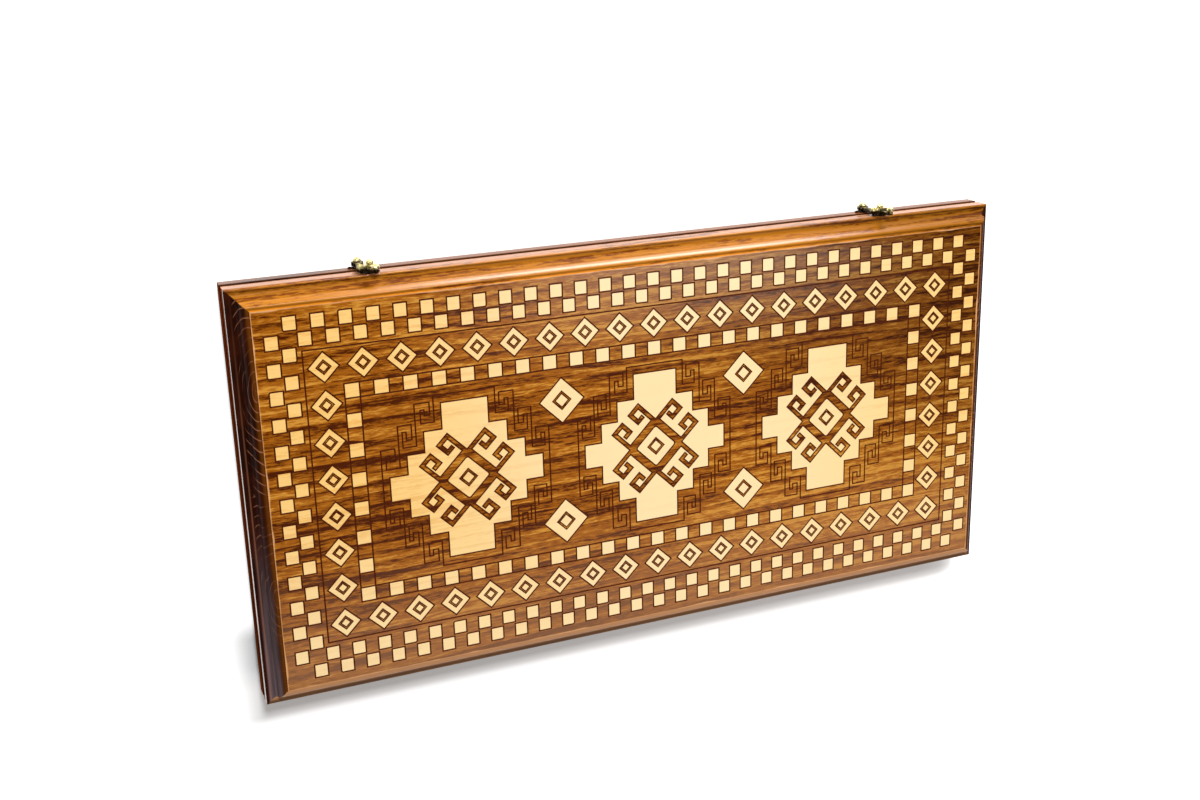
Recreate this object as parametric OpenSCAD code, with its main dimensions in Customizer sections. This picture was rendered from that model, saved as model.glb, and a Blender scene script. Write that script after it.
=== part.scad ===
// Folding backgammon board, closed and lying on its plain rear leaf.
// X runs along the hinge, Y from the hinge side to the latch side, Z up.
// The origin is the middle of the rear leaf's flat outer face.

/* [Board] */
// Length of the closed board, along the hinge
board_l = 600; // [460:1:760]
// Width of the closed board, from the hinge side to the latch side
board_w = 304; // [230:1:400]
// Gap that the hinges leave between the closed leaves
seam_gap = 0.4; // [0.2:0.1:1]

/* [Leaves] */
// Thickness of the outer panel
panel_t = 14; // [10:0.5:18]
// Height of the rails glued under the panel
rail_h = 12; // [10:0.5:20]
// Thickness of the rails
rail_t = 12; // [10:0.5:18]
// Radius of the rounded arris along the seam
arris_r = 2.5; // [1:0.5:3.5]

/* [Edge moulding] */
// Height of the plain band at the foot of the moulding
rim_band = 1.5; // [0.5:0.5:3]
// Width of the flat ledge at the foot of the moulding
foot_ledge = 2; // [0.5:0.5:4]
// Height of the small step between the moulding and the flat face
face_step = 1; // [0.5:0.5:2]

/* [Playing field] */
// Thickness of the veneered sheet on the floor of each leaf
field_t = 1; // [0.6:0.1:3]
// Length of a playing point
point_l = 225; // [140:1:229]
// Gap between neighbouring points where they meet the rail
point_gap = 2; // [1:0.5:6]
// Joint line round each inlaid point
inlay_gap = 0.05; // [0.03:0.01:0.2]
// Joint line round the veneered sheet
field_gap = 0.15; // [0.05:0.05:0.5]

/* [Hinges] */
// Distance of each hinge from the middle of the board
hinge_x = 190; // [120:1:200]
// Length of a hinge
hinge_l = 40; // [30:1:60]
// Width of a hinge leaf let into the rail
hinge_w = 9; // [8:0.5:10]
// Thickness of a hinge leaf
hinge_t = 1; // [0.8:0.1:1.4]
// Radius of the hinge knuckles
knuckle_r = 2; // [1.8:0.1:3]
// Number of knuckles on a hinge
knuckles = 5; // [3:2:7]
// Radius of the hinge pin
pin_r = 0.8; // [0.6:0.1:1]
// Running clearance of the pin in its knuckles
pin_clear = 0.05; // [0.03:0.01:0.1]
// Distance of the hinge axis outside the board's side
hinge_out = 0.3; // [0.2:0.1:1]

/* [Screws and nails] */
// Radius of a hinge screw's shank
screw_r = 0.9; // [0.7:0.1:1.1]
// Length of a hinge screw
screw_l = 8; // [6:0.5:9]
// Radius of a hinge screw's countersunk head
screw_head_r = 1.8; // [1.5:0.1:2.2]
// Radius of a latch nail
nail_r = 0.6; // [0.4:0.1:0.8]
// Length of a latch nail below its plate
nail_l = 6; // [4:0.5:8]
// Radius of a latch nail's round head
nail_head_r = 1.2; // [1:0.1:1.4]

/* [Latches] */
// Half the distance between the two catch studs
latch_x = 202; // [150:1:230]
// Distance of the latches' middle to the right of the board's middle
latch_shift = 1.2; // [-5:0.1:5]
// Distance of the rivet and of the stud from the seam's middle
post_off = 9; // [8:0.5:9]
// Distance by which the rivet stands to the left of its stud
pivot_dx = 4.4; // [3:0.1:6]
// Thickness of a hook's flat body
hook_t = 2.6; // [1.6:0.1:3]
// Thickness of the latch plates
plate_t = 0.9; // [0.6:0.1:1.2]
// Radius of a latch plate over its scallops
plate_r = 4.7; // [4:0.1:4.7]
// Distance of a plate's nails from its middle
ear_x = 5.5; // [5.2:0.1:6.5]
// Radius of the stems on which a hook turns and catches
stem_r = 1.1; // [0.9:0.1:1.3]
// Gap on each side of a hook, so that it turns freely
hook_clear = 0.4; // [0.2:0.1:0.6]
// Radius of the domed head of the rivet
rivet_head_r = 3; // [2:0.1:3.2]
// Radius of the head of the catch stud
stud_head_r = 3.2; // [2:0.1:3.2]
// Radius of the finger knob at the hook's end
knob_r = 2.9; // [2:0.1:3.5]

/* [Hidden] */
$fn = 48;

// A little more than flush, for cuts that pass through a face
over = 1;

// Heights of the leaf and of the closed board
leaf_t = panel_t + rail_h;
axis_z = leaf_t + seam_gap / 2;
axis_y = -board_w / 2 - hinge_out;

// The moulding is a round over a hollow of one radius
ogee_r = (panel_t - rim_band - face_step) / 2;
edge_inset = foot_ledge + 2 * ogee_r;

// Clear floor inside the rails of a leaf
floor_l = board_l - 2 * rail_t;
floor_w = board_w - 2 * rail_t;
points_per_side = 6;
point_w = floor_w / points_per_side - point_gap;

// Hinge knuckles and their room
knuckle_l = hinge_l / knuckles;
knuckle_side_gap = 0.15;
knuckle_room = 0.3;
mortise_gap = 0.1;
screw_x = hinge_l / 2 - knuckle_l;
screw_y = -board_w / 2 + hinge_w / 2 + knuckle_r / 2;
hole_clear = 0.03;

// The rivet stands in the lower leaf and the stud in the upper one, as far from the seam
pivot_z = axis_z - post_off;
catch_h = pivot_z;
catch_dz = 2 * post_off;
reach = sqrt(catch_dz * catch_dz + pivot_dx * pivot_dx);

// Latch layers, counted outwards from the board's side
nail_head_t = 0.5;
hook_low = plate_t + nail_head_t + hook_clear;
hook_high = hook_low + hook_t;
stem_deep = 4;
stem_bore_clear = 0.05;
collar_w = 0.7;
rivet_head_h = 3.45;
stud_flange_h = 0.8;
stud_flange_lip = 0.4;
stud_head_h = 3.5;
notch_r = stem_r + 0.25;

// Hook: round boss, arm, leaf beside the stud, jaw beyond it and knobbed tail
boss_r = 3.4;
boss_lobes = 9;
boss_lobe_r = 0.9;
arm_w = 3.6;
leaf_x = 2;
leaf_past_stud = 1.5;
leaf_y = catch_dz + leaf_past_stud;
leaf_r = 3.2;
leaf_h = 2.3;
jaw_w = 3.6;
tail_x = pivot_dx + 1;
tail_neck_l = 4.5;
tail_y = reach + notch_r + jaw_w + tail_neck_l + knob_r;
tail_neck_w = 2.6;
knob_low = hook_high + 0.5;
knob_h = 3.7;
knob_foot_r = knob_r - 0.8;
knob_stem_r = knob_r - 1.2;

// Colours, as the photograph shows them
stained = [0.50, 0.28, 0.10];
rail_brown = [0.36, 0.18, 0.07];
field_brown = [0.62, 0.40, 0.20];
pale = [0.95, 0.80, 0.56];
dark = [0.24, 0.12, 0.06];
brass = [0.62, 0.55, 0.30];
bright_brass = [0.80, 0.70, 0.38];

// Section of a panel, flat face up, with the moulding on both edges
module panel_section(width) {
    core = width / 2 - edge_inset;
    translate([-core, 0]) square([2 * core, panel_t]);
    translate([-width / 2, 0]) square([width, rim_band]);
    for (side = [0, 1]) mirror([side, 0]) translate([core, 0]) {
        translate([0, rim_band + ogee_r]) circle(ogee_r);
        difference() {
            translate([-over, 0]) square([over + 2 * ogee_r, rim_band + ogee_r]);
            translate([2 * ogee_r, rim_band + ogee_r]) circle(ogee_r);
        }
    }
}

// Panel with its flat face down at height 0 and the moulding mitred at the corners
module panel() {
    translate([0, 0, panel_t]) mirror([0, 0, 1]) intersection() {
        rotate([90, 0, 0]) linear_extrude(board_w, center = true) panel_section(board_l);
        rotate([90, 0, 90]) linear_extrude(board_l, center = true) panel_section(board_w);
    }
}

// Section of a rail: inner face at 0, outer face at rail_t, with the rounded arris at the seam
module rail_section() {
    difference() {
        square([rail_t, rail_h]);
        translate([rail_t - arris_r, rail_h - arris_r]) difference() {
            square(arris_r + over);
            circle(arris_r);
        }
    }
}

// Rail along X, mitred at both ends, its outer face on the -Y side of the board
module rail_blank(length, across) {
    intersection() {
        translate([0, -across / 2 + rail_t, panel_t]) rotate([90, 0, -90])
            linear_extrude(length + over, center = true) rail_section();
        linear_extrude(leaf_t + over) polygon([
            [-length / 2, -across / 2],
            [length / 2, -across / 2],
            [length / 2 - rail_t, -across / 2 + rail_t],
            [-length / 2 + rail_t, -across / 2 + rail_t]
        ]);
    }
}

// Rail on the hinge side, with a mortise for each hinge leaf and a groove for its knuckles
module rail_hinge_side() {
    difference() {
        rail_blank(board_l, board_w);
        for (x = [-hinge_x, hinge_x]) translate([x, 0, 0]) {
            translate([-hinge_l / 2 - mortise_gap, -board_w / 2 - over, leaf_t - hinge_t])
                cube([hinge_l + 2 * mortise_gap, hinge_w + mortise_gap + over, hinge_t + over]);
            translate([0, axis_y, axis_z]) rotate([0, 90, 0])
                cylinder(h = hinge_l + 2 * mortise_gap, r = knuckle_r + knuckle_room, center = true);
            for (s = [-screw_x, screw_x]) translate([s, screw_y, leaf_t - screw_l - over])
                cylinder(h = screw_l + 2 * over, r = screw_r + hole_clear);
        }
    }
}

// Rail on the latch side, bored for the stems and nails of its latch plates
module rail_latch_side(plates_x, plate_h) {
    difference() {
        rotate([0, 0, 180]) rail_blank(board_l, board_w);
        for (x = plates_x) translate([x, board_w / 2, plate_h]) rotate([90, 0, 0]) {
            translate([0, 0, -over]) cylinder(h = stem_deep + hole_clear + over, r = stem_r + hole_clear);
            for (e = [-ear_x, ear_x]) translate([e, 0, -over])
                cylinder(h = nail_l + hole_clear + over, r = nail_r + hole_clear);
        }
    }
}

module rail_end(side) {
    rotate([0, 0, side > 0 ? 90 : -90]) rail_blank(board_w, board_l);
}

// One playing point, its foot on the end rail and its tip towards the middle, grown evenly
module point_outline(grow) {
    foot = floor_l / 2 - field_gap;
    slope = point_w / 2 / point_l;
    tip = foot - point_l - grow * sqrt(1 + 1 / (slope * slope));
    half = (foot + grow - tip) * slope;
    polygon([[foot + grow, -half], [foot + grow, half], [tip, 0]]);
}

// Points of one colour: every other point along each end, the two ends out of step
module points_outline(shade, grow) {
    step = floor_w / points_per_side;
    for (end = [0, 1], k = [0 : points_per_side - 1])
        if ((k + end + shade) % 2 == 0)
            mirror([end, 0]) translate([0, (k + 0.5) * step - floor_w / 2]) point_outline(grow);
}

module field() {
    translate([0, 0, panel_t]) linear_extrude(field_t) difference() {
        square([floor_l - 2 * field_gap, floor_w - 2 * field_gap], center = true);
        points_outline(0, inlay_gap);
        points_outline(1, inlay_gap);
    }
}

module points(shade) {
    translate([0, 0, panel_t]) linear_extrude(field_t) intersection() {
        points_outline(shade, 0);
        square([floor_l - 2 * field_gap, floor_w - 2 * field_gap], center = true);
    }
}

// Puts a piece of a leaf where the upper leaf has it: upside down above the seam
module in_lid() {
    translate([0, 0, 2 * axis_z]) mirror([0, 0, 1]) children();
}

// Knuckles of one hinge leaf: the even ones belong to the lower leaf
module knuckle_row(first, radius, gap) {
    for (k = [first : 2 : knuckles - 1])
        translate([-hinge_l / 2 + k * knuckle_l + gap, axis_y, axis_z]) rotate([0, 90, 0])
            cylinder(h = knuckle_l - 2 * gap, r = radius);
}

// Countersunk screw, its head flush at height 0; grow makes it the hole for one
module screw(grow) {
    cone_h = screw_head_r - screw_r;
    translate([0, 0, -screw_l]) cylinder(h = screw_l, r = screw_r + grow);
    translate([0, 0, -cone_h]) cylinder(h = cone_h, r1 = screw_r + grow, r2 = screw_head_r + grow);
}

// Hinge leaf let flush into the lower rail; first is 0 for the lower leaf and 1 for the upper
module hinge_leaf(x, first) {
    translate([x, 0, 0]) difference() {
        union() {
            difference() {
                translate([-hinge_l / 2, axis_y, leaf_t - hinge_t])
                    cube([hinge_l, hinge_w + hinge_out, hinge_t]);
                knuckle_row(1 - first, knuckle_r + knuckle_room, -knuckle_side_gap);
            }
            knuckle_row(first, knuckle_r, knuckle_side_gap);
        }
        translate([0, axis_y, axis_z]) rotate([0, 90, 0])
            cylinder(h = hinge_l + 2 * over, r = pin_r + pin_clear, center = true);
        for (s = [-screw_x, screw_x]) translate([s, screw_y, leaf_t]) {
            screw(hole_clear);
            translate([0, 0, -hole_clear]) cylinder(h = over, r = screw_head_r + hole_clear);
        }
    }
}

module hinge_pin(x) {
    translate([x, axis_y, axis_z]) rotate([0, 90, 0]) cylinder(h = hinge_l, r = pin_r, center = true);
}

// Countersunk screws of both hinges in one leaf
module hinge_screws() {
    for (x = [-hinge_x, hinge_x], s = [-screw_x, screw_x])
        translate([x + s, screw_y, leaf_t]) screw(0);
}

// Latch pieces lie on the latch side: local X points left, local Y up, local Z outwards
module at_latch(x, z) {
    translate([x, board_w / 2, z]) rotate([90, 0, 180]) children();
}

// Round scalloped plate with an ear for a nail at each side
module plate_outline() {
    lobes = 10;
    lobe_r = 1;
    ear_r = 1.5;
    web = 0.2;
    circle(plate_r - lobe_r + web);
    for (k = [0 : lobes - 1]) rotate(k * 360 / lobes) translate([plate_r - lobe_r, 0]) circle(lobe_r);
    for (side = [-1, 1]) translate([side * ear_x, 0]) circle(ear_r);
}

module latch_plate(x, z) {
    at_latch(x, z) linear_extrude(plate_t) difference() {
        plate_outline();
        circle(stem_r + hole_clear);
        for (side = [-1, 1]) translate([side * ear_x, 0]) circle(nail_r + hole_clear);
    }
}

// Domed button of given radius and height
module dome(radius, height) {
    intersection() {
        ball_r = (radius * radius + height * height) / (2 * height);
        translate([0, 0, height - ball_r]) sphere(ball_r);
        cylinder(h = height, r = radius);
    }
}

// Rivet on which the hook turns, with a collar that keeps the hook off the plate
module hook_rivet(x) {
    at_latch(x, pivot_z) {
        translate([0, 0, -stem_deep]) cylinder(h = stem_deep + hook_high + hook_clear, r = stem_r);
        translate([0, 0, plate_t]) cylinder(h = hook_low - plate_t - stem_bore_clear, r = stem_r + collar_w);
        translate([0, 0, hook_high + stem_bore_clear]) dome(rivet_head_r, rivet_head_h);
    }
}

// Stud with a flanged, acorn-shaped head, under which the hook catches
module catch_stud(x) {
    at_latch(x + pivot_dx, pivot_z + catch_dz) {
        translate([0, 0, -stem_deep]) cylinder(h = stem_deep + hook_high + hook_clear + stud_flange_h, r = stem_r);
        translate([0, 0, hook_high + hook_clear]) cylinder(h = stud_flange_h, r = stud_head_r);
        translate([0, 0, hook_high + hook_clear + stud_flange_h]) dome(stud_head_r - stud_flange_lip, stud_head_h);
    }
}

// Path that the stud takes through the hook's head, an arc about the rivet
module notch_outline() {
    far = 2 * reach;
    translate([-pivot_dx, catch_dz]) circle(notch_r);
    intersection() {
        difference() {
            circle(reach + notch_r);
            circle(reach - notch_r);
        }
        polygon([[0, 0], [-pivot_dx * 2, catch_dz * 2], [-far, far], [-far, 0]]);
    }
}

// Jaw that holds the stud from beyond, a band about the rivet
module jaw_outline() {
    far = 2 * reach;
    intersection() {
        difference() {
            circle(reach + notch_r + jaw_w);
            circle(reach - notch_r);
        }
        polygon([[0, 0], [leaf_x, far], [-pivot_dx * 3, far]]);
    }
}

// Outline of the hook, upright, with the stud to the left of its arm as seen from outside
module hook_outline() {
    jaw_y = reach + notch_r + jaw_w / 2;
    difference() {
        union() {
            circle(boss_r);
            for (k = [0 : boss_lobes - 1])
                rotate(90 + k * 360 / boss_lobes) translate([boss_r, 0]) circle(boss_lobe_r);
            polygon([[-arm_w / 2, 0], [arm_w / 2, 0], [leaf_x + arm_w / 2, leaf_y],
                     [leaf_x - arm_w / 2, leaf_y]]);
            translate([leaf_x, leaf_y]) circle(leaf_r);
            jaw_outline();
            polygon([[-tail_neck_w, jaw_y], [0, jaw_y], [tail_neck_w / 2 - tail_x, tail_y],
                     [-tail_neck_w / 2 - tail_x, tail_y]]);
            translate([-tail_x, tail_y]) circle(knob_foot_r);
        }
        circle(stem_r + stem_bore_clear);
        notch_outline();
    }
}

module hook(x) {
    at_latch(x, pivot_z) {
        translate([0, 0, hook_low]) linear_extrude(hook_t) hook_outline();
        translate([leaf_x, leaf_y, hook_high]) dome(leaf_r, leaf_h);
        translate([-tail_x, tail_y, hook_high - hook_t / 2]) cylinder(h = hook_t, r = knob_stem_r);
        translate([-tail_x, tail_y, knob_low]) dome(knob_r, knob_h);
    }
}

module latch_nail() {
    translate([0, 0, -nail_l]) cylinder(h = nail_l + plate_t, r = nail_r);
    translate([0, 0, plate_t]) dome(nail_head_r, nail_head_t);
}

// Nails through the ears of the plates whose middles are given
module latch_nails(plates_x, z) {
    for (x = plates_x, e = [-ear_x, ear_x]) at_latch(x, z) translate([e, 0, 0]) latch_nail();
}

// Rivets and studs along the board
left_x = latch_shift - latch_x - pivot_dx;
right_x = latch_shift + latch_x - pivot_dx;
hook_plates_x = [left_x, right_x];
catch_plates_x = [left_x + pivot_dx, right_x + pivot_dx];

module base_panel() { color(stained) panel(); }
module base_rail_hinge_side() { color(rail_brown) rail_hinge_side(); }
module base_rail_latch_side() { color(rail_brown) rail_latch_side(hook_plates_x, pivot_z); }
module base_rail_left() { color(rail_brown) rail_end(-1); }
module base_rail_right() { color(rail_brown) rail_end(1); }
module base_field() { color(field_brown) field(); }
module base_points_dark() { color(dark) points(0); }
module base_points_light() { color(pale) points(1); }

module lid_panel() { color(stained) in_lid() panel(); }
module lid_rail_hinge_side() { color(rail_brown) in_lid() rail_hinge_side(); }
module lid_rail_latch_side() { color(rail_brown) in_lid() rail_latch_side(catch_plates_x, catch_h); }
module lid_rail_left() { color(rail_brown) in_lid() rail_end(-1); }
module lid_rail_right() { color(rail_brown) in_lid() rail_end(1); }
module lid_field() { color(field_brown) in_lid() field(); }
module lid_points_dark() { color(dark) in_lid() points(1); }
module lid_points_light() { color(pale) in_lid() points(0); }

module left_hinge_base_leaf() { color(brass) hinge_leaf(-hinge_x, 0); }
module left_hinge_lid_leaf() { color(brass) in_lid() hinge_leaf(-hinge_x, 1); }
module left_hinge_pin() { color(bright_brass) hinge_pin(-hinge_x); }
module right_hinge_base_leaf() { color(brass) hinge_leaf(hinge_x, 0); }
module right_hinge_lid_leaf() { color(brass) in_lid() hinge_leaf(hinge_x, 1); }
module right_hinge_pin() { color(bright_brass) hinge_pin(hinge_x); }
module base_hinge_screws() { color(bright_brass) hinge_screws(); }
module lid_hinge_screws() { color(bright_brass) in_lid() hinge_screws(); }

module left_hook_plate() { color(brass) latch_plate(left_x, pivot_z); }
module left_hook_rivet() { color(bright_brass) hook_rivet(left_x); }
module left_hook() { color(brass) hook(left_x); }
module left_catch_plate() { color(brass) latch_plate(left_x + pivot_dx, pivot_z + catch_dz); }
module left_catch_stud() { color(bright_brass) catch_stud(left_x); }
module right_hook_plate() { color(brass) latch_plate(right_x, pivot_z); }
module right_hook_rivet() { color(bright_brass) hook_rivet(right_x); }
module right_hook() { color(brass) hook(right_x); }
module right_catch_plate() { color(brass) latch_plate(right_x + pivot_dx, pivot_z + catch_dz); }
module right_catch_stud() { color(bright_brass) catch_stud(right_x); }
module base_latch_nails() { color(bright_brass) latch_nails(hook_plates_x, pivot_z); }
module lid_latch_nails() { color(bright_brass) latch_nails(catch_plates_x, pivot_z + catch_dz); }

base_panel();
base_rail_hinge_side();
base_rail_latch_side();
base_rail_left();
base_rail_right();
base_field();
base_points_dark();
base_points_light();
lid_panel();
lid_rail_hinge_side();
lid_rail_latch_side();
lid_rail_left();
lid_rail_right();
lid_field();
lid_points_dark();
lid_points_light();
left_hinge_base_leaf();
left_hinge_lid_leaf();
left_hinge_pin();
right_hinge_base_leaf();
right_hinge_lid_leaf();
right_hinge_pin();
base_hinge_screws();
lid_hinge_screws();
left_hook_plate();
left_hook_rivet();
left_hook();
left_catch_plate();
left_catch_stud();
right_hook_plate();
right_hook_rivet();
right_hook();
right_catch_plate();
right_catch_stud();
base_latch_nails();
lid_latch_nails();
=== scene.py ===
import math
import random

import bmesh
import bpy
from mathutils import Matrix, Vector


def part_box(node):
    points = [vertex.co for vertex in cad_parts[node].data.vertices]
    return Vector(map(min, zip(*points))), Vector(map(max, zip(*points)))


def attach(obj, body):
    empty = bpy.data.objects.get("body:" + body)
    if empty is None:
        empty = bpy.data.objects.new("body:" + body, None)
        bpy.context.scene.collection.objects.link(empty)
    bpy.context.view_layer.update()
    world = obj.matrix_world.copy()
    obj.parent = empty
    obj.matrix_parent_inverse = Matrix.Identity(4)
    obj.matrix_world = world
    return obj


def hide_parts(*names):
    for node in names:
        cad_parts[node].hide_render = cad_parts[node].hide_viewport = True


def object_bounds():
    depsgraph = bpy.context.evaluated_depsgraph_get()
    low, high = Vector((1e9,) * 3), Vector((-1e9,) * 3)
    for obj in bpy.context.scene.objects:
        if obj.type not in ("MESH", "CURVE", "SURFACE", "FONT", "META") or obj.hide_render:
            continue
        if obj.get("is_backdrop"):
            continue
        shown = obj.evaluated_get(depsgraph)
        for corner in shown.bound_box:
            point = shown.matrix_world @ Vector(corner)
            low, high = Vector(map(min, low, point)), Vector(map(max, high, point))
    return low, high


bl_info = {
    "name": "Backgammon board",
    "version": (1, 0, 0),
    "blender": (4, 5, 0),
    "location": "3D View > Sidebar > Board",
    "description": "Builds the looks of a carved folding backgammon board round its fixed frame",
    "category": "Object",
}

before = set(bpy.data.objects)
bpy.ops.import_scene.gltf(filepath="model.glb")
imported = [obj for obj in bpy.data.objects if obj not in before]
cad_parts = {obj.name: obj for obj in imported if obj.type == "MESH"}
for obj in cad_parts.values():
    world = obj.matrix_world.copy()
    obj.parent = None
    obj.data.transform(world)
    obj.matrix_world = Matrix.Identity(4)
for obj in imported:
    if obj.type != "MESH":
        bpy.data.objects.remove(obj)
CAD_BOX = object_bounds()
MM = 0.001


def paint(red, green, blue):
    """Colour as a screen shows it, 0 to 255, turned into scene values."""
    out = []
    for value in (red, green, blue):
        value = value / 255
        out.append(value / 12.92 if value <= 0.04045 else ((value + 0.055) / 1.055) ** 2.4)
    return tuple(out)


def colour_property(name, description, shade):
    return bpy.props.FloatVectorProperty(
        name=name, description=description, subtype="COLOR", size=3, min=0, max=1, default=paint(*shade)
    )


def length_property(name, description, millimetres):
    return bpy.props.FloatProperty(
        name=name, description=description, default=millimetres * MM, min=0, unit="LENGTH", precision=5
    )


def amount_property(name, description, amount, least=0, unit="NONE"):
    return bpy.props.FloatProperty(name=name, description=description, default=amount, min=least, unit=unit)


# Sizes and colours that a user would change


class MouldingSizes(bpy.types.PropertyGroup):
    step: length_property("Step", "Height of the step between the flat face and the moulding", 1.0)
    ledge: length_property("Ledge", "Width of the flat ledge at the foot of the moulding", 2.0)
    band: length_property("Band", "Height of the plain band under the ledge", 1.5)
    width: length_property("Width", "Width of the whole moulding round the flat face", 13.5)
    soft: length_property("Softened edge", "Radius to which the face's edge is sanded", 0.35)
    round_rim: length_property("Rounded rim", "Radius of the rounding outside the ledge", 1.3)


class CarvingSizes(bpy.types.PropertyGroup):
    pitch: length_property("Pitch", "Distance from one diamond of the border to the next", 26.975)
    line: length_property("Line", "Width of a carved line", 1.1)
    bold_line: length_property("Bold line", "Width of the lines of the chequered ring", 1.15)
    fine_line: length_property("Fine line", "Width of the lines of the small diamonds", 0.85)
    depth: length_property("Depth", "Depth of a carved line", 0.5)
    shift_x: length_property("Shift X", "Pattern's middle from the board's, along the hinge", 1.54)
    shift_y: length_property("Shift Y", "Pattern's middle from the board's, across the hinge", 0.4)


class WoodColours(bpy.types.PropertyGroup):
    stain_dark: colour_property("Dark stain", "Dark bands of the stained face", (76, 27, 0))
    stain: colour_property("Stain", "Middle tone of the stained face", (162, 92, 14))
    stain_light: colour_property("Light stain", "Pale bands of the stained face", (212, 148, 56))
    # Painted highlight: pale line along the border of the flat face, where light catches the step's edge
    rubbed: colour_property("Face edge highlight", "Painted highlight along the border of the flat face", (240, 180, 124))
    # Painted reflection: the long moulding on the hinge side gets this paler, greyer colour in place of its
    # golden one
    tan: colour_property("Tan", "Moulding on the hinge side", (198, 146, 104))
    # Painted reflection: the face turns greyer towards the hinges
    dusty: colour_property("Hinge reflection", "Painted greyish reflection towards the hinges", (164, 118, 84))
    # Painted glint: pale line along the outer edge of the upper leaf's end rails
    worn: colour_property("Edge glint", "Edge rubbed down to the bare wood", (244, 222, 206))
    pale: colour_property("Bare wood", "Unstained wood of the carved figures", (252, 207, 126))
    # Painted sheen: bare wood paler in the middle of the board and towards the hinges
    bleached: colour_property("Pale sheen", "Bare wood paler in the middle of the board", (253, 228, 178))
    pale_dark: colour_property("Bare wood grain", "Grain of the unstained wood", (240, 184, 96))
    groove: colour_property("Groove", "Scorched bottom of the carved lines", (84, 32, 4))
    # Lighter than the face's stain: partly the moulding's own colour and partly painted light where the
    # long sides catch the light
    gold: colour_property("Long moulding", "Moulding along the long sides", (190, 120, 26))
    gold_dark: colour_property("Long moulding grain", "Dark grain of the long moulding", (120, 58, 4))
    end_dark: colour_property("End moulding", "Dark end grain of the mouldings", (58, 20, 6))
    # Growth lines in the end grain, and also the colour of the painted highlight line along the hollow
    end_light: colour_property("End moulding lines", "Growth lines in the end grain", (160, 104, 76))
    # Painted sheen on the end mouldings towards the hinges
    end_painted_sheen: colour_property("End sheen", "End grain rubbed pale near the hinges", (122, 104, 108))
    rail: colour_property("Rail", "Middle tone of the lower leaf's long rails", (134, 80, 44))
    # Painted sheen: the upper leaf's long rails are much lighter than the lower leaf's
    lid_rail: colour_property("Lid rail", "Middle tone of the upper leaf's long rails", (204, 148, 114))
    end_rail: colour_property("End rail", "Middle tone of the rails at the ends", (128, 58, 26))
    rail_dark: colour_property("Rail grain", "Dark grain of the rails", (66, 26, 10))


class InsideColours(bpy.types.PropertyGroup):
    field: colour_property("Field", "Veneer of the playing field", (190, 138, 80))
    field_dark: colour_property("Field grain", "Grain of the playing field", (150, 98, 50))
    point_pale: colour_property("Pale point", "Pale inlaid points", (244, 212, 160))
    point_dark: colour_property("Dark point", "Dark inlaid points", (92, 48, 24))


class LatchSizes(bpy.types.PropertyGroup):
    plate: length_property("Plate", "Thickness of a latch plate", 0.9)
    plate_radius: length_property("Plate radius", "Radius of a latch plate over its scallops", 4.7)
    ear: length_property("Ear", "Distance of a plate's nails from its middle", 5.5)
    hook_low: length_property("Hook underside", "Hook's underside above the board's side", 1.8)
    hook_high: length_property("Hook top", "Hook's flat top above the board's side", 4.4)
    stem: length_property("Stem", "Radius of the rivet's and stud's stems", 1.1)
    knob: length_property("Knob", "Radius of the finger knob", 2.9)


class MetalColours(bpy.types.PropertyGroup):
    brass: colour_property("Brass", "Rubbed, bright brass", (240, 226, 158))
    # Patina and painted shade under the latch: the brass is dark low down near the board's side
    patina: colour_property("Patina", "Dark patina and painted shade low on the brass", (38, 26, 12))
    hinge: colour_property("Hinge brass", "Brushed brass of the hinges", (214, 180, 108))
    screw: colour_property("Screw brass", "Brass of pins and screws", (222, 190, 112))


class StageSettings(bpy.types.PropertyGroup):
    key: amount_property("Key light", "Power of the lamp beyond the latches", 24)
    top: amount_property("Top light", "Power of the lamp above the board", 66)
    card: amount_property("Front card", "Power of the card in front", 5)
    sheen: amount_property("Sheen card", "Power of the small card", 3)
    sky: amount_property("Sky", "Strength of the surroundings", 0.2)
    lens: amount_property("Lens", "Focal length", 44.418, 1, "CAMERA")


SETTINGS = {
    "moulding": MouldingSizes,
    "carving": CarvingSizes,
    "wood": WoodColours,
    "inside": InsideColours,
    "latch": LatchSizes,
    "metal": MetalColours,
    "stage": StageSettings,
}


class BoardSettings(bpy.types.PropertyGroup):
    moulding: bpy.props.PointerProperty(type=MouldingSizes)
    carving: bpy.props.PointerProperty(type=CarvingSizes)
    wood: bpy.props.PointerProperty(type=WoodColours)
    inside: bpy.props.PointerProperty(type=InsideColours)
    latch: bpy.props.PointerProperty(type=LatchSizes)
    metal: bpy.props.PointerProperty(type=MetalColours)
    stage: bpy.props.PointerProperty(type=StageSettings)


# Node helpers


def add(tree, kind, **values):
    node = tree.nodes.new(kind)
    for name, value in values.items():
        setattr(node, name, value)
    return node


def join(tree, start, end):
    tree.links.new(start, end)


def maths(tree, operation, *values, clamp=False):
    """Result of an operation on numbers and sockets."""
    node = add(tree, "ShaderNodeMath", operation=operation, use_clamp=clamp)
    for socket, value in zip(node.inputs, values):
        if isinstance(value, (int, float)):
            socket.default_value = value
        else:
            join(tree, value, socket)
    return node.outputs[0]


def times(tree, first, *others):
    for other in others:
        first = maths(tree, "MULTIPLY", first, other)
    return first


def weighed(tree, value, factor, base):
    """Value times a factor, plus a base."""
    return maths(tree, "MULTIPLY_ADD", value, factor, base)


def between(tree, value, low, high):
    """Value spread from 0 at low to 1 at high, with soft ends."""
    node = add(tree, "ShaderNodeMapRange", interpolation_type="SMOOTHSTEP")
    join(tree, value, node.inputs["Value"])
    node.inputs["From Min"].default_value = low
    node.inputs["From Max"].default_value = high
    return node.outputs[0]


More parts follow.
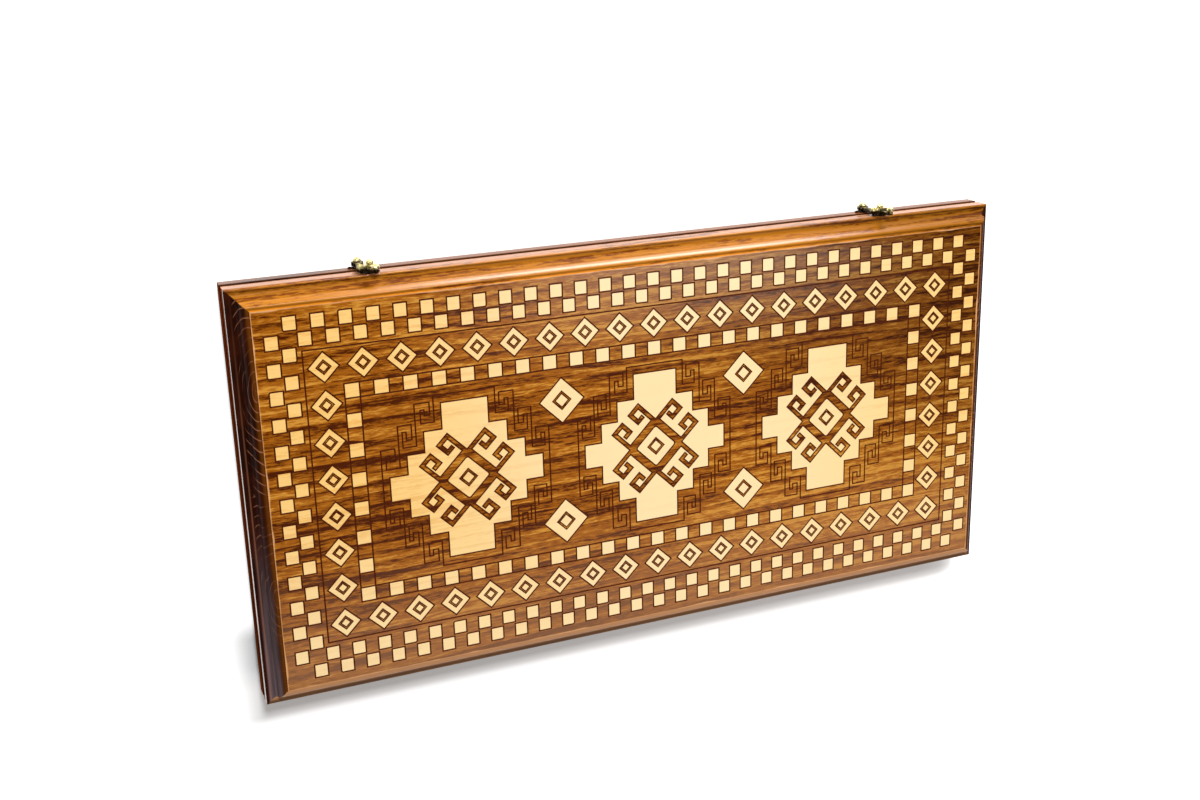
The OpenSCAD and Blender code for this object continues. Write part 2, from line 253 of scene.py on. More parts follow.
def window(tree, value, start, full, last, end):
    """Mask that rises from start to full and falls from last to end."""
    fall = maths(tree, "SUBTRACT", 1, between(tree, value, last, end))
    return times(tree, between(tree, value, start, full), fall)


def blend_colours(tree, factor, first, second):
    """Second colour laid over the first by a factor; each is fixed or comes from a socket."""
    node = add(tree, "ShaderNodeMix", data_type="RGBA")
    for socket, value in ((node.inputs[0], factor), (node.inputs[6], first), (node.inputs[7], second)):
        if isinstance(value, tuple):
            socket.default_value = (*value, 1)
        else:
            join(tree, value, socket)
    return node.outputs[2]


def scaled(tree, colour, level):
    """Colour, fixed or from a socket, made darker or lighter by a level that changes over the surface."""
    node = add(tree, "ShaderNodeVectorMath", operation="SCALE")
    if isinstance(colour, tuple):
        node.inputs[0].default_value = colour
    else:
        join(tree, colour, node.inputs[0])
    join(tree, level, node.inputs["Scale"])
    return node.outputs[0]


def toned(shade, factor):
    """Fixed colour made darker, or lighter up to white."""
    return tuple(min(1, factor * part) for part in shade)


def stretched_noise(tree, vector, scale, detail=2.0, roughness=0.5):
    """Noise whose features are stretched by a scale for each axis."""
    spread = add(tree, "ShaderNodeMapping")
    spread.inputs["Scale"].default_value = scale
    join(tree, vector, spread.inputs["Vector"])
    node = add(tree, "ShaderNodeTexNoise")
    node.inputs["Scale"].default_value = 1
    node.inputs["Detail"].default_value = detail
    node.inputs["Roughness"].default_value = roughness
    join(tree, spread.outputs[0], node.inputs["Vector"])
    return node.outputs[0]


def patches(tree, vector, scale, low, high, detail=2.0, roughness=0.5):
    """Noise sharpened into patches: 0 under low and 1 over high."""
    return between(tree, stretched_noise(tree, vector, scale, detail, roughness), low, high)


def placed_vector(tree, turn=(0, 0, 0), offset=(0, 0, 0)):
    """Object coordinates, turned so that the grain runs along X and moved to another plank."""
    coordinates = add(tree, "ShaderNodeTexCoord")
    mapping = add(tree, "ShaderNodeMapping")
    mapping.inputs["Rotation"].default_value = turn
    mapping.inputs["Location"].default_value = offset
    join(tree, coordinates.outputs["Object"], mapping.inputs["Vector"])
    return mapping.outputs[0]


def axes(tree, vector=None):
    """X, Y and Z of a vector, or of the object's own coordinates."""
    split = add(tree, "ShaderNodeSeparateXYZ")
    join(tree, placed_vector(tree) if vector is None else vector, split.inputs[0])
    return split.outputs


def edge_distance(tree, axis, edge):
    """Distance in millimetres inwards from a pair of the board's outer edges."""
    out = maths(tree, "ABSOLUTE", axes(tree)[axis])
    return maths(tree, "DIVIDE", maths(tree, "SUBTRACT", edge, out), MM)


def bump_by(tree, shader, height, strength, distance):
    """Raises the shading of a material by a height that changes over the surface."""
    bump = add(tree, "ShaderNodeBump")
    bump.inputs["Strength"].default_value = strength
    bump.inputs["Distance"].default_value = distance * MM
    join(tree, height, bump.inputs["Height"])
    join(tree, bump.outputs[0], shader.inputs["Normal"])


def new_material(name, roughness=0.4, metallic=0.0):
    material = bpy.data.materials.new(name)
    material.use_nodes = True
    tree = material.node_tree
    shader = tree.nodes["Principled BSDF"]
    shader.inputs["Roughness"].default_value = roughness
    shader.inputs["Metallic"].default_value = metallic
    return material, tree, shader


def new_group(name, inputs, outputs):
    group = bpy.data.node_groups.new(name, "ShaderNodeTree")
    for title, kind, default in inputs:
        socket = group.interface.new_socket(name=title, in_out="INPUT", socket_type=kind)
        if default is not None:
            socket.default_value = default
    for title, kind in outputs:
        group.interface.new_socket(name=title, in_out="OUTPUT", socket_type=kind)
    return group, add(group, "NodeGroupInput"), add(group, "NodeGroupOutput")


def placed_group(tree, group, vector, **values):
    """Puts a group into a material with its own colours and numbers."""
    node = add(tree, "ShaderNodeGroup", node_tree=group)
    join(tree, vector, node.inputs["Vector"])
    for name, value in values.items():
        node.inputs[name].default_value = (*value, 1) if isinstance(value, tuple) else value
    return node


# Effects that more than one material uses


def wood_grain():
    """Growth bands, fibres and pores of wood whose grain runs along X of the vector."""
    name = "wood grain"
    if name in bpy.data.node_groups:
        return bpy.data.node_groups[name]
    group, given, made = new_group(
        name,
        (
            ("Vector", "NodeSocketVector", None),
            ("Dark", "NodeSocketColor", (0.1, 0.04, 0.01, 1)),
            ("Middle", "NodeSocketColor", (0.3, 0.15, 0.05, 1)),
            ("Light", "NodeSocketColor", (0.5, 0.3, 0.1, 1)),
            ("Figure", "NodeSocketFloat", 1.0),
            ("Pores", "NodeSocketFloat", 0.5),
        ),
        (("Color", "NodeSocketColor"), ("Height", "NodeSocketFloat"), ("Gloss", "NodeSocketFloat")),
    )
    wander, ring_wander, rings_in_a_metre, middle_tone = 0.034, 5, 105, 0.84
    vector = given.outputs["Vector"]
    x, y, z = axes(group, vector)
    bend = maths(group, "SUBTRACT", stretched_noise(group, vector, (5, 16, 16)), 0.5)
    bent = add(group, "ShaderNodeCombineXYZ")
    for socket, value in zip(bent.inputs, (x, weighed(group, bend, wander, y), z)):
        join(group, value, socket)
    bent = bent.outputs[0]
    rings = times(group, stretched_noise(group, bent, (2.2, 12, 8), 1), ring_wander)
    rings = maths(group, "FRACT", weighed(group, y, -rings_in_a_metre, rings))
    veins = patches(group, bent, (7, 300, 160), 0.36, 0.66, 2, 0.6)
    fibre = stretched_noise(group, vector, (60, 1400, 900))
    shares = {
        "bands": (patches(group, bent, (3.2, 130, 60), 0.36, 0.64, 3, 0.6), 0.28),
        "veins": (veins, 0.16),
        "rings": (between(group, rings, 0.0, 0.92), 0.28),
        "mottle": (patches(group, vector, (95, 640, 400), 0.34, 0.68, 3, 0.7), 0.38),
        "stain": (patches(group, vector, (5, 9, 9), 0.32, 0.7), 0.24),
        "fibre": (fibre, 0.3),
    }
    tone = -middle_tone
    for pattern, share in shares.values():
        tone = weighed(group, pattern, share, tone)
    tone = maths(group, "MULTIPLY_ADD", tone, given.outputs["Figure"], 0.5, clamp=True)
    dark, middle, light = (given.outputs[shade] for shade in ("Dark", "Middle", "Light"))
    colour = blend_colours(group, between(group, tone, 0.0, 0.5), dark, middle)
    colour = blend_colours(group, between(group, tone, 0.5, 1.0), colour, light)
    pores = patches(group, vector, (130, 2100, 1500), 0.60, 0.72, 1)
    pitted = times(group, pores, given.outputs["Pores"])
    join(group, blend_colours(group, pitted, colour, dark), made.inputs["Color"])
    height = maths(group, "SUBTRACT", weighed(group, veins, 0.4, fibre), pitted)
    join(group, height, made.inputs["Height"])
    join(group, tone, made.inputs["Gloss"])
    return group


def brass_wear_and_painted_shade():
    """Cast brass, by the height above the board's side: bright higher up where hands rub it, dark lower
    down, partly patina and partly painted shade under the latch.
    """
    name = "worn brass"
    if name in bpy.data.node_groups:
        return bpy.data.node_groups[name]
    group, given, made = new_group(
        name,
        (
            ("Vector", "NodeSocketVector", None),
            ("Bright", "NodeSocketColor", (0.7, 0.5, 0.15, 1)),
            ("Patina", "NodeSocketColor", (0.05, 0.04, 0.01, 1)),
            ("Low", "NodeSocketFloat", 0.0),
            ("High", "NodeSocketFloat", 1.0),
        ),
        (("Color", "NodeSocketColor"), ("Roughness", "NodeSocketFloat"), ("Height", "NodeSocketFloat")),
    )
    dull, gain_by_wear, speckled = 0.44, 0.24, 0.08
    vector = given.outputs["Vector"]
    rise = maths(group, "SUBTRACT", axes(group, vector)[1], given.outputs["Low"])
    span = maths(group, "SUBTRACT", given.outputs["High"], given.outputs["Low"])
    rise = maths(group, "DIVIDE", rise, span, clamp=True)
    cloud = stretched_noise(group, vector, (420, 420, 420), 4, 0.6)
    speckle = stretched_noise(group, vector, (2600, 2600, 2600))
    # Dark near the board's side, partly patina and partly painted shade; bright higher up
    wear_and_painted_shade = between(group, weighed(group, cloud, 0.9, rise), 0.8, 1.3)
    colour = blend_colours(group, wear_and_painted_shade, given.outputs["Patina"], given.outputs["Bright"])
    join(group, colour, made.inputs["Color"])
    rough = weighed(group, speckle, speckled, weighed(group, wear_and_painted_shade, -gain_by_wear, dull))
    join(group, rough, made.inputs["Roughness"])
    join(group, weighed(group, speckle, 0.4, cloud), made.inputs["Height"])
    return group


# Tones, painted light and shade, and polish, at places in metres from the board's middle and millimetres
# from its edge


def round_polish(edge):
    """The long moulding is polished on its round and dull in its hollow."""
    on_rim, least = 0.7, 0.03
    round_part, middle_part = (6.7, 8.0, 10.2, 11.6), (-0.28, -0.12, 0.08, 0.25)

    def mask(tree):
        x, y, _ = axes(tree)
        out = edge_distance(tree, 1, edge)
        rim = weighed(tree, between(tree, out, 0.7, 1.4), -on_rim, on_rim)
        lit = maths(tree, "MAXIMUM", rim, window(tree, out, *round_part))
        handled = weighed(tree, window(tree, x, *middle_part), 0.8, 0.15)
        handled = times(tree, handled, between(tree, y, -0.1, 0.0))
        return weighed(tree, lit, handled, least)

    return mask


def face_polish(tree):
    """The face is polished to a shine near the middle of the latch side."""
    most, least = 0.5, 0.06
    middle_part, latch_part = (-0.22, -0.04, 0.08, 0.26), (0.05, 0.125)
    x, y, _ = axes(tree)
    rubbed = times(tree, window(tree, x, *middle_part), between(tree, y, *latch_part))
    return weighed(tree, rubbed, most, least)


def bleached(colour_there):
    """Painted sheen: bare wood paler towards the middle of the board and towards the hinges."""
    by_hinges, most = 0.8, 0.85
    middle_part, hinge_part = (-0.24, -0.02, 0.06, 0.33), (0.02, -0.12)

    def shade(tree, colour):
        x, y, _ = axes(tree)
        along = window(tree, x, *middle_part)
        low = times(tree, between(tree, y, *hinge_part), by_hinges)
        share = times(tree, maths(tree, "MAXIMUM", along, low), most)
        return blend_colours(tree, share, colour, colour_there)

    return shade


def off_seam(tree, seam, start, full, slant=0.0):
    """Mask that rises with the distance from the seam; a slant widens it towards the hinge side."""
    _, y, z = axes(tree)
    away = maths(tree, "ABSOLUTE", maths(tree, "SUBTRACT", z, seam))
    return between(tree, weighed(tree, y, -slant, away), start, full)


def rail_polish(seam, start, full, slant=0.0, most=1.0):
    """A rail is polished away from the seam."""
    return lambda tree: times(tree, off_seam(tree, seam, start, full, slant), most)


def rail_painted_light(seam, depth, worn=None, start=0.0, full=0.0, slant=0.0):
    """Painted shade beside the seam, and a painted glint along the outer edge where a colour is given for
    it.
    """
    painted_seam_shade = 0.2

    def shade(tree, colour):
        # Painted shade: darker towards the seam, where the leaves meet
        level = weighed(tree, off_seam(tree, seam, 0.45 * depth, depth), 1 - painted_seam_shade, painted_seam_shade)
        shaded = scaled(tree, colour, level)
        # Painted glint along the outer edge
        if worn:
            shaded = blend_colours(tree, off_seam(tree, seam, start, full, slant), shaded, worn)
        return shaded

    return shade


def rubbed_border(half_x, half_y, rubbed, dusty):
    """Darker far corner, painted greyish reflection towards the hinges, and painted highlight along the
    border of the flat face.
    """
    slope, darker, dust, uneven, most = 0.55, 0.55, 0.5, 0.9, 0.75

    def shade(tree, colour):
        vector = placed_vector(tree)
        x, y, _ = axes(tree, vector)
        corner = between(tree, weighed(tree, x, slope, y), 0.0, 0.26)
        colour = scaled(tree, colour, weighed(tree, corner, -darker, 1))
        # Painted reflection: greyer towards the hinges
        low = times(tree, between(tree, y, -0.03, -0.14), dust)
        colour = blend_colours(tree, low, colour, dusty)
        # Painted highlight along the border of the flat face, where light catches the step's edge; uneven
        # in patches
        across = maths(tree, "MINIMUM", edge_distance(tree, 0, half_x), edge_distance(tree, 1, half_y))
        cloud = patches(tree, vector, (38, 38, 38), 0.42, 0.72)
        across = weighed(tree, cloud, -uneven, across)
        worn = maths(tree, "SUBTRACT", 1, between(tree, across, 0.2, 1.2))
        return blend_colours(tree, times(tree, worn, most), colour, rubbed)

    return shade


# Distance in millimetres from the edge, and half the tone there: painted shade in the corners at the
# ledge's root and at the step, painted highlight on the round and along the step's edge

MOULDING_PAINTED_LIGHT = (
    (0, 0.5),
    (1.1, 0.55),
    (2.0, 0.14),
    (3.0, 0.36),
    (4.5, 0.42),
    (6.5, 0.47),
    (8.2, 0.6),
    (10.2, 0.6),
    (11.4, 0.5),
    (12.2, 0.22),
    (12.7, 0.34),
    (13.5, 0.72),
)


def moulding_painted_light(edge, tan):
    """Painted shade in the corners of the long mouldings and painted highlight on their round; painted
    shade towards the far end; and on the hinge side the tan colour, a painted reflection, with painted
    shade on its rim and ledge.
    """
    last = MOULDING_PAINTED_LIGHT[-1][0]
    far_end_darker, tan_share, tan_least = 0.4, 0.85, 0.2

    def shade(tree, colour):
        x, y, _ = axes(tree)
        out = maths(tree, "DIVIDE", edge_distance(tree, 1, edge), last)
        ramp = add(tree, "ShaderNodeValToRGB")
        elements = ramp.color_ramp.elements
        for place, _ in MOULDING_PAINTED_LIGHT[1:-1]:
            elements.new(place / last)
        for element, (place, level) in zip(elements, MOULDING_PAINTED_LIGHT):
            element.position = place / last
            element.color = (level, level, level, 1)
        join(tree, out, ramp.inputs[0])
        # Painted shade: darker towards the far end, where less light falls
        painted_far_end_shade = weighed(tree, between(tree, x, 0.06, 0.26), -far_end_darker, 1)
        colour = scaled(tree, colour, times(tree, ramp.outputs[0], 2, painted_far_end_shade))
        # Hinge side: the tan colour as a painted reflection, with painted shade on its rim and ledge
        painted_ledge_shade = weighed(tree, between(tree, out, 0.12, 0.4), 1 - tan_least, tan_least)
        low_side = times(tree, between(tree, y, -0.05, -0.1), tan_share)
        return blend_colours(tree, low_side, colour, scaled(tree, tan, painted_ledge_shade))

    return shade


# Materials


def wood(
    name,
    dark,
    middle,
    light,
    turn=(0, 0, 0),
    offset=(0, 0, 0),
    figure=1.0,
    pores=0.5,
    rough=0.36,
    gloss=0.15,
    relief=0.12,
    shading=None,
    polish=None,
    lacquer=(0.18, 1.7),
):
    """Lacquered wood with its grain turned and placed; shading tones it and polish masks its lacquer."""
    material, tree, shader = new_material(name, rough)
    vector = placed_vector(tree, turn, offset)
    shades = {"Dark": dark, "Middle": middle, "Light": light, "Figure": figure, "Pores": pores}
    grain = placed_group(tree, wood_grain(), vector, **shades)
    colour = grain.outputs["Color"]
    if shading:
        colour = shading(tree, colour)
    join(tree, colour, shader.inputs["Base Color"])
    bump_by(tree, shader, grain.outputs["Height"], relief, 0.1)
    join(tree, weighed(tree, grain.outputs["Gloss"], 0.1, rough - 0.05), shader.inputs["Roughness"])
    shader.inputs["Specular IOR Level"].default_value = gloss
    if polish:
        join(tree, polish(tree), shader.inputs["Coat Weight"])
    shader.inputs["Coat Roughness"].default_value = lacquer[0]
    shader.inputs["Coat IOR"].default_value = lacquer[1]
    return material


def end_grain(name, dark, light, brown, worn, edge, offset=0.0):
    """Dark end of glued planks: flattened growth rings round each plank's heart, cut by the moulding, with
    a painted highlight line along the hollow and a painted sheen towards the hinges.
    """
    plank, heart, squeeze, spacing, inwards = 0.15, 0.09, 3.2, 2.2, 13.0
    wander, shake = 0.012, 2.0
    rubbed_line, hollow = (2.5, 3.1, 3.5, 4.1), (1.5, 3.0, 8.0, 12.0)
    material, tree, shader = new_material(name, 0.4)
    vector = placed_vector(tree, offset=(0, offset, 0))
    y = axes(tree, vector)[1]
    out = edge_distance(tree, 0, edge)
    bend = weighed(tree, stretched_noise(tree, vector, (30, 16, 40), 1), wander, y)
    along = maths(tree, "WRAP", maths(tree, "SUBTRACT", bend, heart), -plank / 2, plank / 2)
    along = maths(tree, "DIVIDE", along, squeeze * MM)
    across = maths(tree, "SUBTRACT", inwards, out)
    far = maths(tree, "ADD", maths(tree, "POWER", along, 2), maths(tree, "POWER", across, 2))
    rough_far = stretched_noise(tree, vector, (60, 30, 60))
    far = weighed(tree, rough_far, shake, maths(tree, "SQRT", far))
    rings = maths(tree, "PINGPONG", maths(tree, "DIVIDE", far, spacing), 0.5)
    seen = patches(tree, vector, (90, 30, 90), 0.38, 0.66)
    seen = times(tree, seen, between(tree, y, -0.14, -0.03))
    lines = times(tree, between(tree, rings, 0.4, 0.5), seen, between(tree, out, 4.2, 5.5))
    # Painted highlight: a pale line along the hollow, stronger towards the hinges
    rubbed = times(tree, window(tree, out, *rubbed_line), between(tree, y, 0.18, -0.05))
    bright = maths(tree, "MAXIMUM", lines, times(tree, rubbed, 0.5))
    cloud = patches(tree, vector, (60, 60, 60), 0.35, 0.65, 3)
    ground = blend_colours(tree, cloud, toned(dark, 0.45), dark)
    thin = times(tree, between(tree, out, 8.5, 13.6), 0.6)
    ground = blend_colours(tree, maths(tree, "POWER", thin, 2), ground, brown)
    # Painted sheen: the hollow of the end moulding turns greyish towards the hinges, in streaks
    streaks = weighed(tree, patches(tree, vector, (420, 16, 420), 0.3, 0.7), 0.6, 0.4)
    sheen = times(tree, between(tree, y, 0.0, -0.14), window(tree, out, *hollow), streaks)
    ground = blend_colours(tree, sheen, ground, worn)
    join(tree, blend_colours(tree, bright, ground, light), shader.inputs["Base Color"])
    bump_by(tree, shader, lines, 0.12, 0.1)
    shader.inputs["Specular IOR Level"].default_value = 0.04
    return material


def scorched(name, shade):
    """Bottom of a burnt line: uneven dark brown."""
    material, tree, shader = new_material(name, 0.7)
    cloud = stretched_noise(tree, placed_vector(tree), (500, 500, 500), 3)
    colour = blend_colours(tree, cloud, toned(shade, 0.6), toned(shade, 1.5))
    join(tree, colour, shader.inputs["Base Color"])
    shader.inputs["Specular IOR Level"].default_value = 0.08
    return material


def aged_brass(name, bright, patina, low, high):
    """Cast brass, dark up to a height above the board's side, partly antiqued and partly painted shade, and
    bright over it.
    """
    material, tree, shader = new_material(name, 0.34, 1.0)
    values = {"Bright": bright, "Patina": patina, "Low": low, "High": high}
    worn = placed_group(tree, brass_wear_and_painted_shade(), placed_vector(tree), **values)
    join(tree, worn.outputs["Color"], shader.inputs["Base Color"])
    join(tree, worn.outputs["Roughness"], shader.inputs["Roughness"])
    bump_by(tree, shader, worn.outputs["Height"], 0.25, 0.08)
    return material


def brushed_brass(name, shade, rough=0.3):
    """Rolled brass with fine brush marks along the hinge."""
    material, tree, shader = new_material(name, rough, 1.0)
    vector = placed_vector(tree)
    marks = stretched_noise(tree, vector, (60, 5200, 5200))
    cloud = stretched_noise(tree, vector, (90, 90, 90), 3)
    mixed = maths(tree, "MULTIPLY_ADD", marks, 0.5, times(tree, cloud, 0.6), clamp=True)
    join(tree, blend_colours(tree, mixed, toned(shade, 0.72), shade), shader.inputs["Base Color"])
    join(tree, weighed(tree, marks, 0.22, rough - 0.1), shader.inputs["Roughness"])
    bump_by(tree, shader, marks, 0.15, 0.03)
    return material


# Mesh helpers


def sharpen(bm, angle=32):
    """Faces shade smoothly, and edges sharper than the angle stay crisp."""
    limit = math.radians(angle)
    for face in bm.faces:
        face.smooth = True
    for edge in bm.edges:
        edge.smooth = not (len(edge.link_faces) == 2 and edge.calc_face_angle(0) > limit)


def finish_piece(name, bm, body, replaced, materials):
    """Turns a mesh in metres into a named piece that rides on its body."""
    mesh = bpy.data.meshes.new(name)
    bm.to_mesh(mesh)
    bm.free()
    for material in materials:
        mesh.materials.append(material)
    piece = bpy.data.objects.new(name, mesh)
    bpy.context.scene.collection.objects.link(piece)
    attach(piece, body)
    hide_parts(*replaced)


def dress(node, material):
    """Gives a CAD node a better material in its own slots."""
    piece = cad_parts[node]
    if not piece.material_slots:
        raise RuntimeError("no material slot on " + node)
    for holder in piece.material_slots:
        holder.material = material


def draw_ring(bm, points, height):
    """Closed loop of edges through the points."""
    verts = [bm.verts.new((x, y, height)) for x, y in points]
    edges = [bm.edges.new((verts[k], verts[(k + 1) % len(verts)])) for k in range(len(verts))]
    return verts, edges


def raise_ring(bm, verts, edges, points, height):
    """Extrudes a loop and moves each new corner to its point; returns the new corners, edges and faces."""
    place = {tuple(vert.co): k for k, vert in enumerate(verts)}
    made = bmesh.ops.extrude_edge_only(bm, edges=edges)["geom"]
    corners = [None] * len(verts)
    for item in made:
        if isinstance(item, bmesh.types.BMVert):
            corners[place[tuple(item.co)]] = item
    for corner, (x, y) in zip(corners, points):
        corner.co = (x, y, height)
    fresh = [item for item in made if isinstance(item, bmesh.types.BMEdge)]
    rim = [edge for edge in fresh if edge.verts[0] in corners and edge.verts[1] in corners]
    faces = [item for item in made if isinstance(item, bmesh.types.BMFace)]
    return corners, rim, faces


def widened(points, distance):
    """Closed outline moved outwards with mitred corners; a negative distance moves it inwards."""
    area = sum(a[0] * b[1] - b[0] * a[1] for a, b in zip(points, points[1:] + points[:1]))
    sign = 1 if area > 0 else -1
    out = []
    for k, point in enumerate(points):
        before = Vector(point) - Vector(points[k - 1])
        after = Vector(points[(k + 1) % len(points)]) - Vector(point)
        before.normalize()
        after.normalize()
        first = Vector((before.y, -before.x)) * sign
        second = Vector((after.y, -after.x)) * sign
        mitre = (first + second) / (1 + first.dot(second))
        moved = Vector(point) + mitre * distance
        out.append((moved.x, moved.y))
    return out


def rectangle(x, y, half_x, half_y):
    return [(x + across * half_x, y + up * half_y) for across, up in ((-1, -1), (1, -1), (1, 1), (-1, 1))]


def diamond(x, y, half):
    return [(x - half, y), (x, y - half), (x + half, y), (x, y + half)]


def rounded(points, radius, steps=4, which=None):
    """Outline with its corners, or those named, cut by arcs."""
    out = []
    for k, point in enumerate(points):
        if which is not None and k not in which:
            out.append(point)
            continue
        here = Vector(point)
        back = (Vector(points[k - 1]) - here).normalized()
        on = (Vector(points[(k + 1) % len(points)]) - here).normalized()
        half = math.acos(max(-1, min(1, back.dot(on)))) / 2
        inset = radius / math.tan(half)
        middle = here + (back + on).normalized() * radius / math.sin(half)
        start = here + back * inset - middle
        end = here + on * inset - middle
        turn = start.angle_signed(end)
        for step in range(steps + 1):
            spoke = start.copy()
            spoke.rotate(Matrix.Rotation(-turn * step / steps, 2))
            out.append(tuple(middle + spoke))
    return out


# Panels


FACE, PALE, GROOVE, LONG_EDGE, END_EDGE = range(5)


def quarter_turn(steps):
    return [math.pi / 2 * k / steps for k in range(steps + 1)]


def ogee(sizes):
    """Section of the moulding, from the flat face outwards: distance out and depth below the face."""
    radius = (sizes.width - sizes.ledge) / 2
    soft, step, bend = sizes.soft, sizes.step, sizes.round_rim
    foot = step + 2 * radius
    rim = sizes.width - bend
    out = [(soft * math.sin(a) - soft, soft * (1 - math.cos(a))) for a in quarter_turn(3)]
    out.append((0, step))
    out += [(radius * math.sin(a), step + radius * (1 - math.cos(a))) for a in quarter_turn(12)[1:]]
    out += [(radius * (2 - math.cos(a)), step + radius * (1 + math.sin(a))) for a in quarter_turn(12)[1:]]
    out += [(rim + bend * math.sin(a), foot + bend * (1 - math.cos(a))) for a in quarter_turn(5)]
    out.append((sizes.width, foot + sizes.band))
    return out


def moulded_panel(bm, half_x, half_y, face_height, facing):
    """Mitred moulding round an open flat face, whose edges it returns; facing is 1 up or -1 down."""
    sizes = bpy.context.scene.board.moulding
    section = ogee(sizes)
    flat_x = half_x - sizes.width
    flat_y = half_y - sizes.width
    inset = section[0][0]
    verts, edges = draw_ring(bm, rectangle(0, 0, flat_x + inset, flat_y + inset), face_height)
    face_edges = edges
    for out, depth in section[1:]:
        points = rectangle(0, 0, flat_x + out, flat_y + out)
        verts, edges, faces = raise_ring(bm, verts, edges, points, face_height - facing * depth)
        for face in faces:
            middle = face.calc_center_median()
            face.material_index = END_EDGE if abs(middle.x) > abs(middle.y) else LONG_EDGE
    back = bmesh.ops.contextual_create(bm, geom=edges)["faces"]
    for face in back:
        face.material_index = FACE
    return face_edges


class Carver:
    """Carves closed lines into a flat face, and fills the ground between them."""

    def __init__(self, bm, height):
        sizes = bpy.context.scene.board.carving
        self.bm = bm
        self.height = height
        self.pitch = sizes.pitch
        self.shift = (sizes.shift_x, sizes.shift_y)
        self.line = sizes.line
        self.depth = sizes.depth

    def to_face(self, points):
        return [(self.shift[0] + x * self.pitch, self.shift[1] + y * self.pitch) for x, y in points]

    def carve(self, outline, width=None, inside=True, outside=True):
        """One closed line, given in pitches; returns its edges on the inner and on the outer ground."""
        width = width or self.line
        centre = self.to_face(outline)
        verts, edges = draw_ring(self.bm, centre, self.height - self.depth)
        rims = []
        for wanted, distance in ((inside, -width / 2), (outside, width / 2)):
            if not wanted:
                rims.append([])
                continue
            rim = raise_ring(self.bm, verts, edges, widened(centre, distance), self.height)
            for face in rim[2]:
                face.material_index = GROOVE
            rims.append(rim[1])
        return rims

    def fill(self, edges, material):
        made = bmesh.ops.triangle_fill(self.bm, edges=edges, use_beauty=True, normal=(0, 0, 1))["geom"]
        faces = [item for item in made if isinstance(item, bmesh.types.BMFace)]
        if not faces:
            raise RuntimeError("a carved region could not be filled")
        for face in faces:
            face.material_index = material

    def island(self, outline, material=PALE, width=None):
        """Carved figure with plain ground inside; returns its edges on the ground outside."""
        inner, outer = self.carve(outline, width)
        self.fill(inner, material)
        return outer

    def tile(self, outline, material, width):
        """Cell of the chequered ring, which shares its lines with its neighbours."""
        inner = self.carve(outline, width, outside=False)[0]
        self.fill(inner, material)


# The pattern, in pitches from its middle; of a row of squares, their number, spacing and place

BORDER_COLUMNS = 19
BORDER_ROWS = 8
BORDER_X = (BORDER_COLUMNS - 1) / 2
BORDER_Y = (BORDER_ROWS - 1) / 2
FRAME_X = 9.5
FRAME_Y = 3.98
CHEQUER_W = 0.352
CHEQUER_H = 0.373
CHEQUERS_LONG = ((29, 0.697, 4.72), (28, 0.697, 4.287))
CHEQUERS_END = ((13, 0.7105, 10.22), (12, 0.7105, 9.81))
CHEQUERS_SHIFT = 0.01
CHIPPED_SHARE = 0.3
CHIP = 0.05
BORDER_DIAMOND = 0.405
BORDER_EYE = (0.19, 0.126)
RING_OUT_X = 8.53
RING_OUT_Y = 3.0
RING_IN_X = 8.137
RING_IN_Y = 2.605
RING_ALONG = 23
RING_UP = 8
MEDALLION_STEP = 5.434
MEDALLION_Y = -0.03
MEDALLION_EYE = (0.25, 0.175)
HEART = 0.6
HEART_ROUND = 0.07
CROSS_STEPS = ((0.64, 2.165), (1.14, 1.447), (1.62, 0.874), (2.11, 0.343))
KEY_X = (0.833, 1.344, 1.8165, 2.30)
KEY_TOP = (2.38, 2.222, 1.697, 1.103)
KEY_LOW = (1.672, 1.088, 0.561)
LOZENGE_X = 2.73
LOZENGE_Y = 1.733
LOZENGE = 0.64
LOZENGE_EYE = (0.262, 0.19)


def four_fold(quadrant):
    """Closed outline from the first quadrant's corners, top to right, mirrored into the others."""
    right = quadrant + [(x, -y) for x, y in reversed(quadrant)]
    left = [(-x, y) for x, y in reversed(right)]
    return right + left


def moved(points, x, y):
    return [(a + x, b + y) for a, b in points]


def stepped_cross():
    corners = []
    for k, (x, y) in enumerate(CROSS_STEPS):
        if k:
            corners.append((CROSS_STEPS[k - 1][0], y))
        corners.append((x, y))
    return four_fold(corners)


def key_line():
    """Outline whose stair corners carry hooked keys."""
    reach, curl, neck, drop, rise = 0.36, 0.255, 0.11, 0.185, 0.2
    corners = [(KEY_X[0], KEY_TOP[0])]
    for k, low in enumerate(KEY_LOW):
        x = KEY_X[k]
        top = KEY_TOP[k + 1]
        corners += [(x, low), (x + reach, low), (x + reach, top - drop), (x + curl, top - drop)]
        corners += [(x + curl, low + rise), (x + neck, low + rise), (x + neck, top), (KEY_X[k + 1], top)]
    return four_fold(corners)


def hooked_figure():
    """Diamond band with a pair of curled hooks to each side, drawn upright and turned by 45 degrees."""
    band, stroke = 0.636, 0.106
    inner = 0.4525
    outer = inner + stroke
    tip, curl, hollow, end = 1.287, 0.126, 0.864, 0.384
    side = [
        (outer, outer),
        (outer, tip),
        (curl, tip),
        (curl, hollow),
        (end, hollow),
        (end, hollow + stroke),
        (curl + stroke, hollow + stroke),
        (curl + stroke, tip - stroke),
        (inner, tip - stroke),
        (inner, band),
    ]
    mirror = [(-a, b) for a, b in reversed(side[1:])]
    quarter = side + mirror
    out = []
    for turn in range(4):
        angle = math.radians(45 + 90 * turn)
        cos, sin = math.cos(angle), math.sin(angle)
        out += [(a * cos - b * sin, a * sin + b * cos) for a, b in quarter]
    return out


